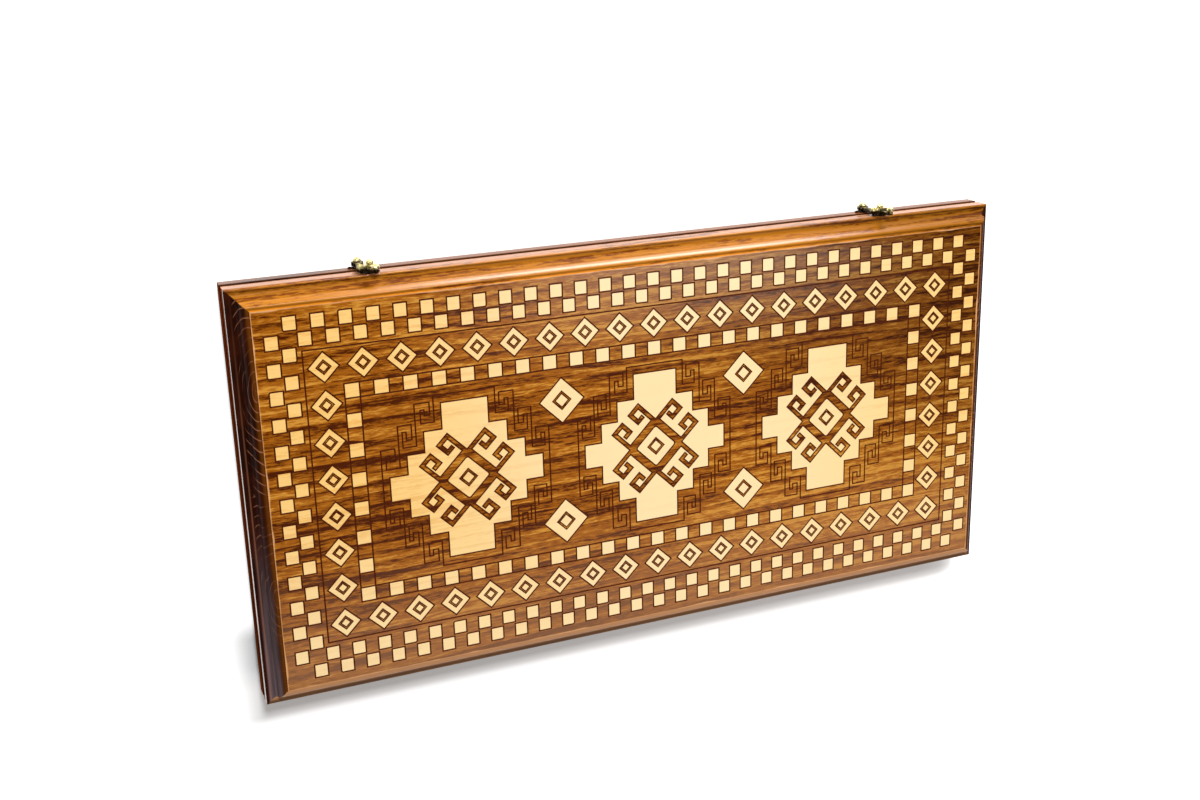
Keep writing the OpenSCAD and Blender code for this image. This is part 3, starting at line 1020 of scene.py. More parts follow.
def chequers():
    """Middles of the two staggered rows of squares round the frame."""
    spots = []
    for count, spacing, across in CHEQUERS_LONG:
        for k in range(count):
            for side in (-1, 1):
                spots.append(((k - (count - 1) / 2) * spacing + CHEQUERS_SHIFT, side * across))
    for count, spacing, across in CHEQUERS_END:
        for k in range(count):
            for side in (-1, 1):
                spots.append((side * across, (k - (count - 1) / 2) * spacing))
    return spots


def chequered_ring(carver, width):
    """Ring of cells, pale and stained in turn, cut by shared lines."""
    mid_x = (RING_OUT_X + RING_IN_X) / 2
    mid_y = (RING_OUT_Y + RING_IN_Y) / 2
    half_x = (RING_OUT_X - RING_IN_X) / 2
    half_y = (RING_OUT_Y - RING_IN_Y) / 2
    along = 2 * mid_x / (RING_ALONG - 1)
    up = 2 * mid_y / (RING_UP - 1)
    for side in (-1, 1):
        for k in range(RING_ALONG):
            x = -mid_x + k * along
            carver.tile(rectangle(x, side * mid_y, half_x, half_y), PALE, width)
            if k < RING_ALONG - 1:
                carver.tile(rectangle(x + along / 2, side * mid_y, along / 2 - half_x, half_y), FACE, width)
        for k in range(RING_UP):
            y = -mid_y + k * up
            if 0 < k < RING_UP - 1:
                carver.tile(rectangle(side * mid_x, y, half_x, half_y), PALE, width)
            if k < RING_UP - 1:
                carver.tile(rectangle(side * mid_x, y + up / 2, half_x, up / 2 - half_y), FACE, width)


def ringed_eye(carver, place, outside, inside, around):
    """Small pale diamond in a stained ring, inside the pale ground whose edges are given."""
    fine = bpy.context.scene.board.carving.fine_line
    ring_in, ring_out = carver.carve(diamond(*place, outside), fine)
    eye_out = carver.island(diamond(*place, inside), width=fine)
    carver.fill(around + ring_out, PALE)
    carver.fill(ring_in + eye_out, FACE)


def medallion(carver, x):
    """Key line, stepped cross and hooked figure; returns the key line's outer edges."""
    place = (x, MEDALLION_Y)
    key_in, key_out = carver.carve(moved(key_line(), *place))
    cross_in, cross_out = carver.carve(moved(stepped_cross(), *place))
    figure_in, figure_out = carver.carve(moved(hooked_figure(), *place))
    heart_in, heart_out = carver.carve(moved(rounded(diamond(0, 0, HEART), HEART_ROUND), *place))
    carver.fill(key_in + cross_out, FACE)
    carver.fill(cross_in + figure_out, PALE)
    carver.fill(figure_in + heart_out, FACE)
    ringed_eye(carver, place, *MEDALLION_EYE, heart_in)
    return key_out


def carve_pattern(bm, height, face_edges):
    """The whole carpet pattern of the face."""
    sizes = bpy.context.scene.board.carving
    carver = Carver(bm, height)
    chance = random.Random(7)
    frame_in, frame_out = carver.carve(rectangle(0, 0, FRAME_X, FRAME_Y))
    outer_ground = list(face_edges) + frame_out
    for x, y in chequers():
        square = rectangle(x, y, CHEQUER_W / 2, CHEQUER_H / 2)
        if chance.random() < CHIPPED_SHARE:
            square = rounded(square, CHIP, which={chance.randrange(4)})
        outer_ground += carver.island(square)
    carver.fill(outer_ground, FACE)
    bold = sizes.bold_line
    ring_out = carver.carve(rectangle(0, 0, RING_OUT_X, RING_OUT_Y), bold, inside=False)[1]
    border_ground = frame_in + ring_out
    for i in range(BORDER_COLUMNS):
        for j in range(BORDER_ROWS):
            if 0 < i < BORDER_COLUMNS - 1 and 0 < j < BORDER_ROWS - 1:
                continue
            x = i - BORDER_X
            y = j - BORDER_Y
            inner, outer = carver.carve(diamond(x, y, BORDER_DIAMOND))
            border_ground += outer
            ringed_eye(carver, (x, y), *BORDER_EYE, inner)
    carver.fill(border_ground, FACE)
    chequered_ring(carver, bold)
    ground = carver.carve(rectangle(0, 0, RING_IN_X, RING_IN_Y), bold, outside=False)[0]
    for k in (-1, 0, 1):
        ground += medallion(carver, k * MEDALLION_STEP)
    for side in (-1, 1):
        for level in (-1, 1):
            place = (side * LOZENGE_X, level * LOZENGE_Y + MEDALLION_Y)
            inner, outer = carver.carve(diamond(*place, LOZENGE))
            ground += outer
            ringed_eye(carver, place, *LOZENGE_EYE, inner)
    carver.fill(ground, FACE)


def panel_woods(half_x, half_y, offset):
    """Materials of a panel in the order of its material numbers."""
    board = bpy.context.scene.board
    shades = {name: tuple(getattr(board.wood, name)) for name in WoodColours.__annotations__}
    tag = " %d" % round(offset * 100)
    place = (offset, 0, 0)
    wide = board.moulding.width
    pale, gold = shades["pale"], shades["gold"]
    face_lacquer, edge_lacquer = (0.26, 1.7), (0.28, 2.0)
    face = wood(
        "stained face" + tag,
        shades["stain_dark"],
        shades["stain"],
        shades["stain_light"],
        offset=place,
        figure=1.4,
        pores=0.4,
        gloss=0.02,
        shading=rubbed_border(half_x - wide, half_y - wide, shades["rubbed"], shades["dusty"]),
        polish=face_polish,
        lacquer=face_lacquer,
    )
    figures = wood(
        "bare figure" + tag,
        shades["pale_dark"],
        pale,
        pale,
        offset=place,
        pores=0.12,
        rough=0.42,
        gloss=0.05,
        relief=0.06,
        shading=bleached(shades["bleached"]),
        polish=face_polish,
        lacquer=face_lacquer,
    )
    lines = scorched("scorched line" + tag, shades["groove"])
    long_edge = wood(
        "long moulding" + tag,
        shades["gold_dark"],
        gold,
        gold,
        offset=place,
        figure=1.3,
        pores=0.4,
        gloss=0.04,
        shading=moulding_painted_light(half_y, shades["tan"]),
        polish=round_polish(half_y),
        lacquer=edge_lacquer,
    )
    end_shades = [shades[name] for name in ("end_dark", "end_light", "stain", "end_painted_sheen")]
    end_edge = end_grain("end moulding" + tag, *end_shades, half_x, offset)
    return [face, figures, lines, long_edge, end_edge]


class BOARD_OT_carved_panel(bpy.types.Operator):
    """Builds the upper leaf's panel with its moulding and carved pattern"""

    bl_idname = "board.carved_panel"
    bl_label = "Carved panel"

    def execute(self, context):
        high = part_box("lid_panel")[1]
        bm = bmesh.new()
        face_edges = moulded_panel(bm, high.x, high.y, high.z, 1)
        carve_pattern(bm, high.z, face_edges)
        bmesh.ops.remove_doubles(bm, verts=bm.verts, dist=1e-6)
        bmesh.ops.recalc_face_normals(bm, faces=bm.faces)
        sharpen(bm)
        woods = panel_woods(high.x, high.y, 0.0)
        finish_piece("carved_panel", bm, "lid_leaf", ["lid_panel"], woods)
        return {"FINISHED"}


class BOARD_OT_plain_panel(bpy.types.Operator):
    """Builds the lower leaf's plain panel with its moulding"""

    bl_idname = "board.plain_panel"
    bl_label = "Plain panel"

    def execute(self, context):
        low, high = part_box("base_panel")
        other_plank = 2.37
        bm = bmesh.new()
        face_edges = moulded_panel(bm, high.x, high.y, low.z, -1)
        for face in bmesh.ops.contextual_create(bm, geom=face_edges)["faces"]:
            face.material_index = FACE
        bmesh.ops.recalc_face_normals(bm, faces=bm.faces)
        sharpen(bm)
        woods = panel_woods(high.x, high.y, other_plank)
        finish_piece("plain_panel", bm, "base_leaf", ["base_panel"], woods)
        return {"FINISHED"}


class BOARD_OT_rails(bpy.types.Operator):
    """Gives the rails of both leaves their wood"""

    bl_idname = "board.rails"
    bl_label = "Rails"

    def execute(self, context):
        for number, leaf in enumerate(("base", "lid")):
            for count, rail in enumerate(("rail_hinge_side", "rail_latch_side", "rail_left", "rail_right")):
                plank = (1.3 * number + 0.7 * count, 0.21 * count, 0)
                self.rail(context.scene.board.wood, leaf, rail, plank)
        return {"FINISHED"}

    def rail(self, shades, leaf, rail, plank):
        node = leaf + "_" + rail
        low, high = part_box(node)
        seam = high.z if leaf == "base" else low.z
        turn = (0, 0, 0)
        # The upper leaf's long rails take a lighter colour, a painted sheen
        middle = tuple(shades.lid_rail if leaf == "lid" else shades.rail)
        # Painted shade beside the seam
        shading = rail_painted_light(seam, 3.4 * MM)
        polish = rail_polish(seam, 2.5 * MM, 5 * MM, most=0.6)
        if rail in ("rail_left", "rail_right"):
            turn = (0, 0, math.radians(90))
            middle = tuple(shades.end_rail)
            polish = None
            # The upper leaf's end rails get a painted glint along their outer edge
            if leaf == "lid":
                edge = (7.5 * MM, 9.5 * MM, 0.012)
                shading = rail_painted_light(seam, 3 * MM, tuple(shades.worn), *edge)
                polish = rail_polish(seam, *edge)
        material = wood(
            node.replace("_", " "),
            tuple(shades.rail_dark),
            middle,
            toned(middle, 1.4),
            turn,
            plank,
            figure=0.8,
            rough=0.4,
            gloss=0.0,
            shading=shading,
            polish=polish,
        )
        dress(node, material)


class BOARD_OT_playing_field(bpy.types.Operator):
    """Gives the fields and the inlaid points of both leaves their veneers"""

    bl_idname = "board.playing_field"
    bl_label = "Playing field"

    def execute(self, context):
        shades = context.scene.board.inside
        field, dark, pale = tuple(shades.field), tuple(shades.point_dark), tuple(shades.point_pale)
        across = (0, 0, math.radians(90))
        rows = (
            ("field", tuple(shades.field_dark), field, across, "field_veneer"),
            ("points_dark", toned(dark, 0.5), dark, (0, 0, 0), "dark_veneer"),
            ("points_light", toned(pale, 0.8), pale, (0, 0, 0), "pale_veneer"),
        )
        for number, leaf in enumerate(("base", "lid")):
            for count, (part, grain, middle, turn, slot) in enumerate(rows):
                sheet = (0.9 * number + 0.3 * count, 0.4 * count, 0)
                shares = (grain, middle, toned(middle, 1.25), turn, sheet)
                material = wood(leaf + " " + part, *shares, figure=0.9, pores=0.3, rough=0.4)
                dress(leaf + "_" + part, material)
        return {"FINISHED"}


# Brass


def added_since(bm, known):
    return [vert for vert in bm.verts if vert not in known]


def turned_part(bm, profile, centre=(0, 0), steps=48, flutes=None):
    """Spins a section of radius and height round an upright axis, and carves its flutes."""
    known = set(bm.verts)
    verts = [bm.verts.new((radius, 0, height)) for radius, height in profile]
    geometry = verts + [bm.edges.new(pair) for pair in zip(verts, verts[1:])]
    upright = (0, 0, 1)
    bmesh.ops.spin(bm, geom=geometry, axis=upright, angle=2 * math.pi, steps=steps, use_merge=True)
    bmesh.ops.remove_doubles(bm, verts=added_since(bm, known), dist=1e-4)
    made = added_since(bm, known)
    if flutes:
        flutes(made)
    bmesh.ops.translate(bm, verts=made, vec=(*centre, 0))


def arc(start, end, bulge, steps=6):
    """Points of a section from start to end that swell to the left by a bulge; the start is left out."""
    a, b = Vector(start), Vector(end)
    along = b - a
    side = Vector((-along.y, along.x)).normalized()
    out = []
    for k in range(1, steps + 1):
        t = k / steps
        out.append(tuple(a + along * t + side * bulge * 4 * t * (1 - t)))
    return out


def thicken(bm, face, high, edge):
    """Raises a flat face to a height and softens the upper rim."""
    body = bmesh.ops.extrude_face_region(bm, geom=[face])["geom"]
    top = [item for item in body if isinstance(item, bmesh.types.BMFace)]
    for item in body:
        if isinstance(item, bmesh.types.BMVert):
            item.co.z = high
    rim = [e for f in top for e in f.edges]
    bmesh.ops.bevel(bm, geom=rim, offset=edge, segments=3, profile=0.5, affect="EDGES", material=-1)


def lobed_plate(bm, radius, lobes, depth, low, high, centre=(0, 0), edge=0.25, turn=0.0, segments=90):
    """Flat plate with a scalloped outline and softened rims."""
    lobe_power = 0.8
    made = bmesh.ops.create_circle(bm, cap_ends=True, radius=radius, segments=segments)
    verts = made["verts"]
    for vert in verts:
        angle = math.atan2(vert.co.y, vert.co.x) + turn
        share = 1 - depth / radius * (1 - abs(math.sin(lobes * angle / 2)) ** lobe_power)
        vert.co.x = vert.co.x * share + centre[0]
        vert.co.y = vert.co.y * share + centre[1]
        vert.co.z = low
    thicken(bm, verts[0].link_faces[0], high, edge)


def bar(bm, outline, low, high, edge=0.25):
    """Flat bar with the given outline and softened rims."""
    thicken(bm, bm.faces.new([bm.verts.new((x, y, low)) for x, y in outline]), high, edge)


def swept_band(bm, inner, outer, start, end, low, high, edge, steps=20):
    """Flat band between two radii and two angles about the rivet."""
    points = []
    for radius, first, last in ((outer, start, end), (inner, end, start)):
        for k in range(steps + 1):
            angle = first + (last - first) * k / steps
            points.append((radius * math.cos(angle), radius * math.sin(angle)))
    bar(bm, points, low, high, edge)


def dome_flutes(radius, count, amount):
    """Flutes pressed into a dome from above, deepest half way out."""

    def press(verts):
        for vert in verts:
            out = math.hypot(vert.co.x, vert.co.y) / radius
            angle = math.atan2(vert.co.y, vert.co.x)
            vert.co.z -= amount * math.sin(math.pi * min(1, out)) * (1 - abs(math.sin(count * angle / 2)))

    return press


def side_flutes(low, high, count, amount):
    """Flutes carved into the side of a turned part between two heights."""

    def press(verts):
        for vert in verts:
            lift = (vert.co.z - low) / (high - low)
            if not 0 < lift < 1:
                continue
            angle = math.atan2(vert.co.y, vert.co.x)
            pull = 1 - amount * math.sin(math.pi * lift) * (1 - abs(math.sin(count * angle / 2)))
            vert.co.x *= pull
            vert.co.y *= pull

    return press


def at_latch(x, y, z):
    """From a latch's own millimetres, with X to the left, Y up and Z outwards, to the board's frame."""
    turn = Matrix(((-1, 0, 0, 0), (0, 0, 1, 0), (0, 1, 0, 0), (0, 0, 0, 1)))
    return Matrix.Translation((x, y, z)) @ turn @ Matrix.Scale(MM, 4)


def middle_of(node):
    low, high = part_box(node)
    return (low + high) / 2


def side_of_board():
    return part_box("lid_rail_latch_side")[1].y


def brass_parts(name, bm, place, body, replaced):
    """Finishes a part of a latch, which was modelled in the latch's own millimetres."""
    shades = bpy.context.scene.board.metal
    side = side_of_board()
    # Under this height the brass is dark: patina and painted shade under the latch
    bright_from = side + 9 * MM
    bmesh.ops.transform(bm, matrix=place, verts=bm.verts)
    bmesh.ops.recalc_face_normals(bm, faces=bm.faces)
    sharpen(bm, 38)
    key = "aged brass"
    material = bpy.data.materials.get(key)
    if material is None:
        material = aged_brass(key, tuple(shades.brass), tuple(shades.patina), side, bright_from)
    finish_piece(name, bm, body, replaced, [material])


def latch_sizes(*names):
    """Sizes of the latches in their own millimetres."""
    return [getattr(bpy.context.scene.board.latch, name) / MM for name in names]


def plate_mesh(bm):
    """Scalloped plate with a raised ring, rays and an ear at each side."""
    thick, radius, ear = latch_sizes("plate", "plate_radius", "ear")
    scallops, rays = 10, 20
    sheet = thick - 0.25
    ear_radius = 1.5
    ray_start, ray_end, start_half, end_half = 3.3, 4.0, 0.12, 0.2
    lobed_plate(bm, radius, scallops, 0.5, 0, sheet, edge=0.2, turn=math.pi / scallops)
    for side in (-1, 1):
        lobed_plate(bm, ear_radius, 1, 0, 0, sheet, centre=(side * ear, 0), edge=0.2, segments=32)
    turned_part(bm, [(2.6, thick - 0.3), (2.75, thick), (3.2, thick), (3.35, thick - 0.3)])
    corners = ((ray_start, start_half), (ray_end, end_half), (ray_end, -end_half), (ray_start, -start_half))
    for k in range(rays):
        angle = 2 * math.pi * k / rays
        x, y = math.cos(angle), math.sin(angle)
        ray = [(out * x + half * y, out * y - half * x) for out, half in corners]
        bar(bm, ray, thick - 0.35, thick - 0.05, 0.08)


# Depth in millimetres to which rivets and studs go into the rails

STEM_DEPTH = 4


def rivet_mesh(bm):
    """Rivet with a collar under the hook and a stepped, domed cap."""
    low, high, stem, thick = latch_sizes("hook_low", "hook_high", "stem", "plate")
    air = 0.05
    collar = stem + 0.7
    cap = high + air
    profile = [(0, -STEM_DEPTH), (stem, -STEM_DEPTH), (stem, thick), (collar, thick), (collar, low - air)]
    profile += [(stem, low - air), (stem, cap)]
    profile += [(2.9, cap), (3.0, cap + 0.2), (3.0, cap + 0.7), (2.6, cap + 0.95)]
    profile += arc((2.6, cap + 0.95), (1.1, cap + 2.7), -0.35, 8)
    profile += arc((1.1, cap + 2.7), (0, cap + 3.4), -0.18, 5)
    turned_part(bm, profile, flutes=side_flutes(cap + 0.95, cap + 3.3, 9, 0.12))


def stud_mesh(bm):
    """Stud with a flange and a fluted, acorn-shaped head."""
    high, stem = latch_sizes("hook_high", "stem")
    flange = high + 0.4
    profile = [(0, -STEM_DEPTH), (stem, -STEM_DEPTH), (stem, flange)]
    profile += [(3.05, flange), (3.2, flange + 0.15), (3.2, flange + 0.65)]
    profile += [(3.0, flange + 0.8), (2.3, flange + 0.85), (2.25, flange + 1.1)]
    profile += arc((2.25, flange + 1.1), (2.75, flange + 2.0), -0.1, 4)
    profile += arc((2.75, flange + 2.0), (1.3, flange + 3.75), -0.35, 8)
    profile += arc((1.3, flange + 3.75), (0, flange + 4.28), -0.12, 4)
    turned_part(bm, profile, steps=60, flutes=side_flutes(flange + 1.2, flange + 4.2, 8, 0.2))


def hook_mesh(bm, dx, rise):
    """Hook in its caught place about its rivet: lobed boss, arm, fluted leaf, jaw, neck and turned knob."""
    low, high, stem, knob = latch_sizes("hook_low", "hook_high", "stem", "knob")
    jaw, jaw_end, half_arm, half_tail, boss, leaf_r = 3.6, math.radians(111.5), 1.8, 1.3, 4.3, 3.2
    jaw_in = math.hypot(dx, rise) + stem + 0.25
    jaw_out = jaw_in + jaw
    leaf_x, leaf_y = 2.0, rise + 1.5
    tail_x, tail_y = -dx - 1, jaw_out + 4.5 + knob
    lobed_plate(bm, boss, 9, 0.7, low, high, edge=0.3, turn=math.radians(90))
    arm = [(-half_arm, 0), (half_arm, 0), (leaf_x + half_arm, leaf_y), (leaf_x - half_arm, leaf_y)]
    bar(bm, arm, low, high, 0.35)
    for k in range(3):
        share = 0.36 + 0.13 * k
        bead = [(0.0, high + 0.45)] + arc((0.0, high + 0.45), (1.25, high - 0.1), 0.22, 5)
        turned_part(bm, bead, (leaf_x * share, leaf_y * share), 24)
    lobed_plate(bm, leaf_r, 11, 0.35, low, high, centre=(leaf_x, leaf_y), edge=0.3)
    crown = [(0, high + 2.2)] + arc((0, high + 2.2), (leaf_r - 0.15, high - 0.2), 0.55, 10)
    turned_part(bm, crown, (leaf_x, leaf_y), 66, dome_flutes(leaf_r, 11, 0.7))
    away = math.atan2(leaf_y, leaf_x)
    swept_band(bm, jaw_in, jaw_out, away, jaw_end, low, high, 0.35)
    swept_band(bm, jaw_out - 1.75, jaw_out, away, jaw_end, high - 0.3, high + 1.5, 0.6)
    jaw_y = jaw_in + jaw / 2
    neck = [(-2 * half_tail, jaw_y), (0, jaw_y), (tail_x + half_tail, tail_y), (tail_x - half_tail, tail_y)]
    bar(bm, neck, low, high, 0.35)
    waist, groove = knob - 1.3, knob - 0.9
    profile = [(0, low), (waist, low), (groove, low + 0.4), (groove, high - 0.3), (waist, high)]
    profile += [(waist, high + 0.5), (knob - 0.2, high + 0.5), (knob, high + 0.8), (knob, high + 1.3)]
    profile += arc((knob, high + 1.3), (1.2, high + 3.5), -0.5, 8)
    profile += arc((1.2, high + 3.5), (0, high + 4.15), -0.15, 4)
    turned_part(bm, profile, (tail_x, tail_y), 48, side_flutes(high + 1.3, high + 4.1, 9, 0.12))


def nail_mesh(bm, x):
    """Small round-headed nail through an ear of a plate."""
    shank, head, length, dome = 0.6, 1.2, 6, 0.5
    seat = latch_sizes("plate")[0] - 0.02
    profile = [(0, -length), (0.25, -length + 0.6), (shank, -length + 1), (shank, seat), (head, seat)]
    profile += arc((head, seat), (0, seat + dome), -0.14, 5)
    turned_part(bm, profile, (x, 0), 24)


class BOARD_OT_latches(bpy.types.Operator):
    """Builds the cast brass latches: plates, rivets, studs, hooks and nails"""

    bl_idname = "board.latches"
    bl_label = "Latches"

    def execute(self, context):
        side = side_of_board()
        ear = context.scene.board.latch.ear / MM
        for hand in ("left", "right"):
            rivet = middle_of(hand + "_hook_rivet")
            stud = middle_of(hand + "_catch_stud")
            low_place = at_latch(rivet.x, side, rivet.z)
            high_place = at_latch(stud.x, side, stud.z)
            for part, mesh, place, body in (
                ("hook_plate", plate_mesh, low_place, "base_leaf"),
                ("catch_plate", plate_mesh, high_place, "lid_leaf"),
                ("hook_rivet", rivet_mesh, low_place, "base_leaf"),
                ("catch_stud", stud_mesh, high_place, "lid_leaf"),
            ):
                bm = bmesh.new()
                mesh(bm)
                brass_parts(hand + "_cast_" + part, bm, place, body, [hand + "_" + part])
            bm = bmesh.new()
            hook_mesh(bm, (stud.x - rivet.x) / MM, (stud.z - rivet.z) / MM)
            brass_parts(hand + "_cast_hook", bm, low_place, hand + "_hook", [hand + "_hook"])
            for leaf, spot, body in (("base", rivet, "base_leaf"), ("lid", stud, "lid_leaf")):
                bm = bmesh.new()
                for end in (-1, 1):
                    nail_mesh(bm, end * ear)
                place = at_latch(spot.x, side, spot.z)
                brass_parts(hand + "_" + leaf + "_nails", bm, place, body, [leaf + "_latch_nails"])
        return {"FINISHED"}


def hinge_screw(bm, place):
    """Countersunk screw with a cross slot and a turned thread, head up."""
    head, shank, root, length, slot, slot_depth = 1.8, 0.9, 0.62, 8.0, 0.42, 0.55
    turns, lead, flank = 9, 0.55, 0.27
    known = set(bm.verts)
    profile = [(0, -length), (0.18, -length + 0.5)]
    for k in range(turns):
        height = -length + 0.7 + k * lead
        core = root * min(1, 0.4 + 0.2 * k)
        crest = shank * min(1, 0.5 + 0.17 * k)
        profile += [(core, height), (crest, height + flank)]
    profile += [(root, -2.2), (shank, -1.9), (shank, -0.95), (head, -0.08), (head - 0.12, 0)]
    turned_part(bm, profile, steps=24)
    rim = [v for v in added_since(bm, known) if abs(v.co.z) < 1e-6]
    loops = list({e for v in rim for e in v.link_edges if all(abs(w.co.z) < 1e-6 for w in e.verts)})
    top = bmesh.ops.contextual_create(bm, geom=loops)["faces"]
    geometry = list(top)
    for axis in ((1, 0, 0), (0, 1, 0)):
        for sign in (-1, 1):
            faces = [f for f in geometry if f.is_valid and isinstance(f, bmesh.types.BMFace)]
            parts = list({item for f in faces for item in (*f.verts, *f.edges)}) + faces
            cut = bmesh.ops.bisect_plane(
                bm, geom=parts, plane_co=Vector(axis) * sign * slot / 2, plane_no=Vector(axis), dist=1e-5
            )
            geometry = [item for item in cut["geom"] if isinstance(item, bmesh.types.BMFace)]
    middles = [(f, f.calc_center_median()) for f in geometry if f.is_valid]
    cross = [f for f, c in middles if min(abs(c.x), abs(c.y)) < slot / 2]
    sunk = bmesh.ops.extrude_face_region(bm, geom=cross)["geom"]
    bmesh.ops.delete(bm, geom=cross, context="FACES_ONLY")
    for item in sunk:
        if isinstance(item, bmesh.types.BMVert):
            item.co.z -= slot_depth
    bmesh.ops.transform(bm, matrix=place, verts=added_since(bm, known))


class BOARD_OT_hinges(bpy.types.Operator):
    """Gives the hinges brushed brass and builds their screws"""

    bl_idname = "board.hinges"
    bl_label = "Hinges"

    def execute(self, context):
        shades = context.scene.board.metal
        leaf_metal = brushed_brass("brushed hinge brass", tuple(shades.hinge), 0.32)
        pin_metal = brushed_brass("polished pin brass", tuple(shades.screw), 0.22)
        for hand in ("left", "right"):
            dress(hand + "_hinge_base_leaf", leaf_metal)
            dress(hand + "_hinge_lid_leaf", leaf_metal)
            dress(hand + "_hinge_pin", pin_metal)
        for leaf, body, up in (("base", "base_leaf", 1), ("lid", "lid_leaf", -1)):
            node = leaf + "_hinge_screws"
            low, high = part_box(node)
            head = high.z if up > 0 else low.z
            depth = (low.y + high.y) / 2
            bm = bmesh.new()
            for hand in ("left", "right"):
                near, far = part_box(hand + "_hinge_base_leaf")
                knuckle = (far.x - near.x) / 5
                for x in (near.x + knuckle, far.x - knuckle):
                    turn = Matrix.Rotation(math.radians(0 if up > 0 else 180), 4, "X")
                    chance_turn = Matrix.Rotation(x * 40, 4, "Z")
                    place = Matrix.Translation((x, depth, head)) @ turn @ chance_turn
                    hinge_screw(bm, place @ Matrix.Scale(MM, 4))
            bmesh.ops.recalc_face_normals(bm, faces=bm.faces)
            sharpen(bm, 30)
            finish_piece(leaf + "_cross_screws", bm, body, [node], [pin_metal])
        return {"FINISHED"}


# Stage


# Name, setting of the power, place, width and height, and tint

LAMPS = (
    ("key light", "key", (0.62, 1.6, 0.3), (0.8, 1.2), (1, 0.93, 0.9)),
    ("top light", "top", (-0.45, 1.95, 2.8), (0.45, 0.45), (1, 1, 1)),
    ("front card", "card", (0.45, -0.85, 1.3), (1.6, 0.6), (1, 1, 1)),
    ("sheen card", "sheen", (0.55, -0.05, 1.25), (0.7, 0.3), (1, 0.88, 0.8)),
)
CAMERA_PLACE = (-0.42376, 0.37227, 1.00745)
CAMERA_RIGHT = (0.92256, -0.0269, 0.38491)
CAMERA_FORWARD = (0.35993, -0.29944, -0.88362)

# Pixels by which the lens is shifted, right and up, and the picture's width

LENS_SHIFT = (-9.5, -9.9)
PICTURE_WIDTH = 1200


def soft_lamp(name, place, size, power, tint):
    """Rectangular lamp that faces the board, with its width kept level."""
    data = bpy.data.lights.new(name, "AREA")
    data.shape = "RECTANGLE"
    data.size, data.size_y = size
    data.energy = power
    data.color = tint
    lamp = bpy.data.objects.new(name, data)
    back = Vector(place).normalized()
    side = Vector((1, 0, 0)) - back * back.x
    side.normalize()
    turn = Matrix((side, back.cross(side), back)).transposed().to_4x4()
    lamp.matrix_world = Matrix.Translation(place) @ turn
    bpy.context.scene.collection.objects.link(lamp)


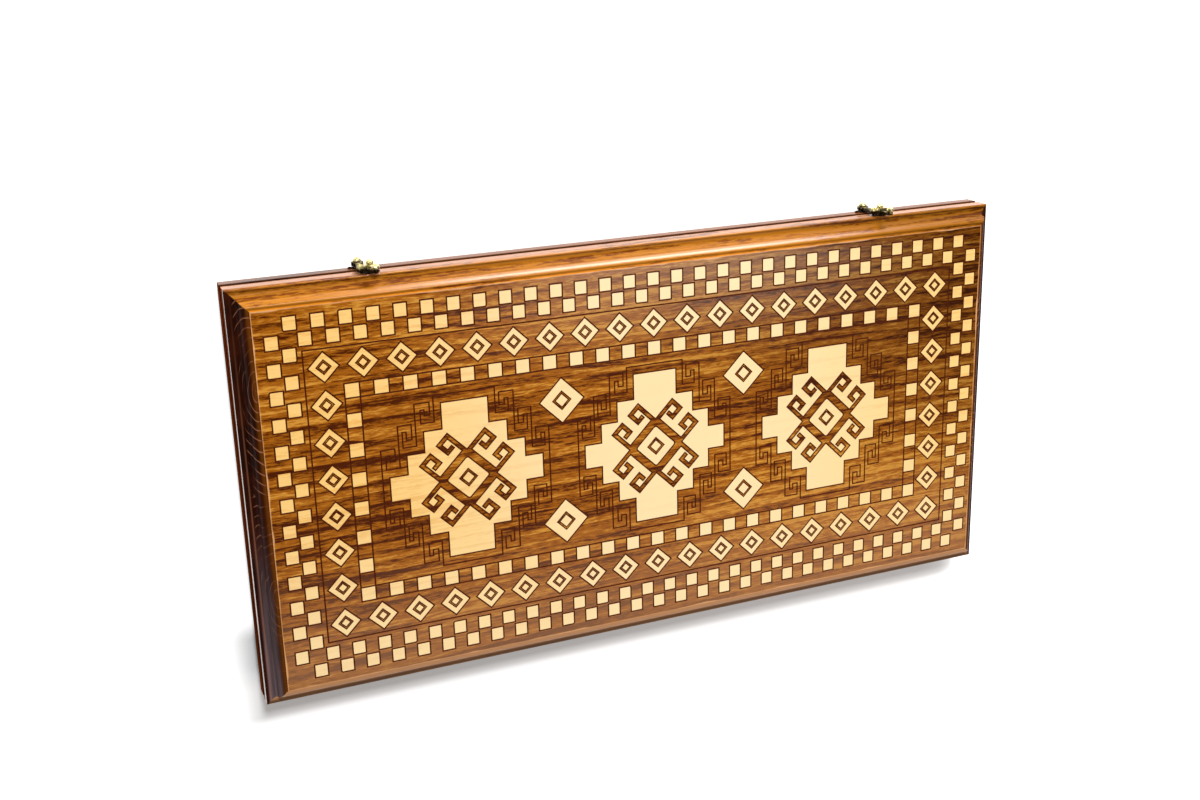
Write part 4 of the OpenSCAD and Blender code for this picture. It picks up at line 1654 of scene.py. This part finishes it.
class BOARD_OT_stage(bpy.types.Operator):
    """Sets the pale floor, the soft studio light and the camera"""

    bl_idname = "board.stage"
    bl_label = "Stage"

    def execute(self, context):
        settings = context.scene.board.stage
        scene = context.scene
        scene.view_settings.view_transform = "Standard"
        bm = bmesh.new()
        bmesh.ops.create_grid(bm, x_segments=4, y_segments=4, size=30)
        mesh = bpy.data.meshes.new("floor")
        bm.to_mesh(mesh)
        bm.free()
        floor = bpy.data.objects.new("floor", mesh)
        floor.location = (0, 0, -0.0002)
        scene.collection.objects.link(floor)
        floor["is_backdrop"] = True
        mesh.materials.append(self.floor_material())
        self.surroundings(scene, settings.sky)
        for name, setting, place, size, tint in LAMPS:
            soft_lamp(name, place, size, getattr(settings, setting), tint)
        self.camera(scene, settings.lens)
        return {"FINISHED"}

    def floor_material(self):
        """White to the camera, with less glow beside the hinges, where the board's shadow shows."""
        white, glow_level, shadow_level, half_board = 0.8, 0.68, 0.04, 0.3
        hinge_strip = (-0.195, -0.182, -0.12, -0.1)
        material, tree, shader = new_material("white floor", 0.9)
        shader.inputs["Base Color"].default_value = (white, white, white, 1)
        shader.inputs["Specular IOR Level"].default_value = 0
        path = add(tree, "ShaderNodeLightPath")
        glow = add(tree, "ShaderNodeEmission")
        glow.inputs["Color"].default_value = (1, 1, 1, 1)
        direct = maths(tree, "MAXIMUM", path.outputs["Is Camera Ray"], path.outputs["Is Glossy Ray"])
        in_front = window(tree, axes(tree)[1], *hinge_strip)
        beside = between(tree, edge_distance(tree, 0, half_board), -25, 5)
        shadow = times(tree, in_front, beside)
        strength = weighed(tree, shadow, shadow_level - glow_level, glow_level)
        join(tree, times(tree, direct, strength), glow.inputs["Strength"])
        both = add(tree, "ShaderNodeAddShader")
        join(tree, shader.outputs[0], both.inputs[0])
        join(tree, glow.outputs[0], both.inputs[1])
        join(tree, both.outputs[0], tree.nodes["Material Output"].inputs["Surface"])
        return material

    def surroundings(self, scene, strength):
        world = bpy.data.worlds.new("studio")
        scene.world = world
        world.use_nodes = True
        tree = world.node_tree
        backing = tree.nodes["Background"]
        backing.inputs["Color"].default_value = (1, 1, 1, 1)
        to_gloss = 0.15
        path = add(tree, "ShaderNodeLightPath")
        level = weighed(tree, path.outputs["Is Camera Ray"], 1 - strength, strength)
        level = weighed(tree, path.outputs["Is Glossy Ray"], to_gloss - strength, level)
        join(tree, level, backing.inputs["Strength"])

    def camera(self, scene, lens):
        data = bpy.data.cameras.new("camera")
        data.lens = lens
        data.sensor_width = 36
        data.clip_start = 0.01
        data.clip_end = 100
        data.shift_x, data.shift_y = (pixels / PICTURE_WIDTH for pixels in LENS_SHIFT)
        right = Vector(CAMERA_RIGHT).normalized()
        forward = Vector(CAMERA_FORWARD).normalized()
        up = right.cross(forward)
        right = forward.cross(up)
        camera = bpy.data.objects.new("camera", data)
        turn = Matrix((right, up, -forward)).transposed().to_4x4()
        camera.matrix_world = Matrix.Translation(CAMERA_PLACE) @ turn
        scene.collection.objects.link(camera)
        scene.camera = camera


OPERATORS = (
    BOARD_OT_carved_panel,
    BOARD_OT_plain_panel,
    BOARD_OT_rails,
    BOARD_OT_playing_field,
    BOARD_OT_latches,
    BOARD_OT_hinges,
    BOARD_OT_stage,
)


class BOARD_PT_panel(bpy.types.Panel):
    """Lists the board's sizes, colours and pieces"""

    bl_label = "Backgammon board"
    bl_idname = "BOARD_PT_panel"
    bl_space_type = "VIEW_3D"
    bl_region_type = "UI"
    bl_category = "Board"

    def draw(self, context):
        layout = self.layout
        for name, kind in SETTINGS.items():
            group = getattr(context.scene.board, name)
            box = layout.box()
            box.label(text=name.capitalize())
            for value in kind.__annotations__:
                box.prop(group, value)
        for kind in OPERATORS:
            layout.operator(kind.bl_idname)


CLASSES = (*SETTINGS.values(), BoardSettings, *OPERATORS, BOARD_PT_panel)


def register():
    for kind in CLASSES:
        bpy.utils.register_class(kind)
    bpy.types.Scene.board = bpy.props.PointerProperty(type=BoardSettings)


def unregister():
    del bpy.types.Scene.board
    for kind in reversed(CLASSES):
        bpy.utils.unregister_class(kind)


def main():
    register()
    for kind in OPERATORS:
        group, name = kind.bl_idname.split(".")
        getattr(getattr(bpy.ops, group), name)()
    boxes = {"cad": CAD_BOX, "visual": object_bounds()}
    boxes = {name: [list(corner) for corner in box] for name, box in boxes.items()}


if __name__ == "__main__":
    main()
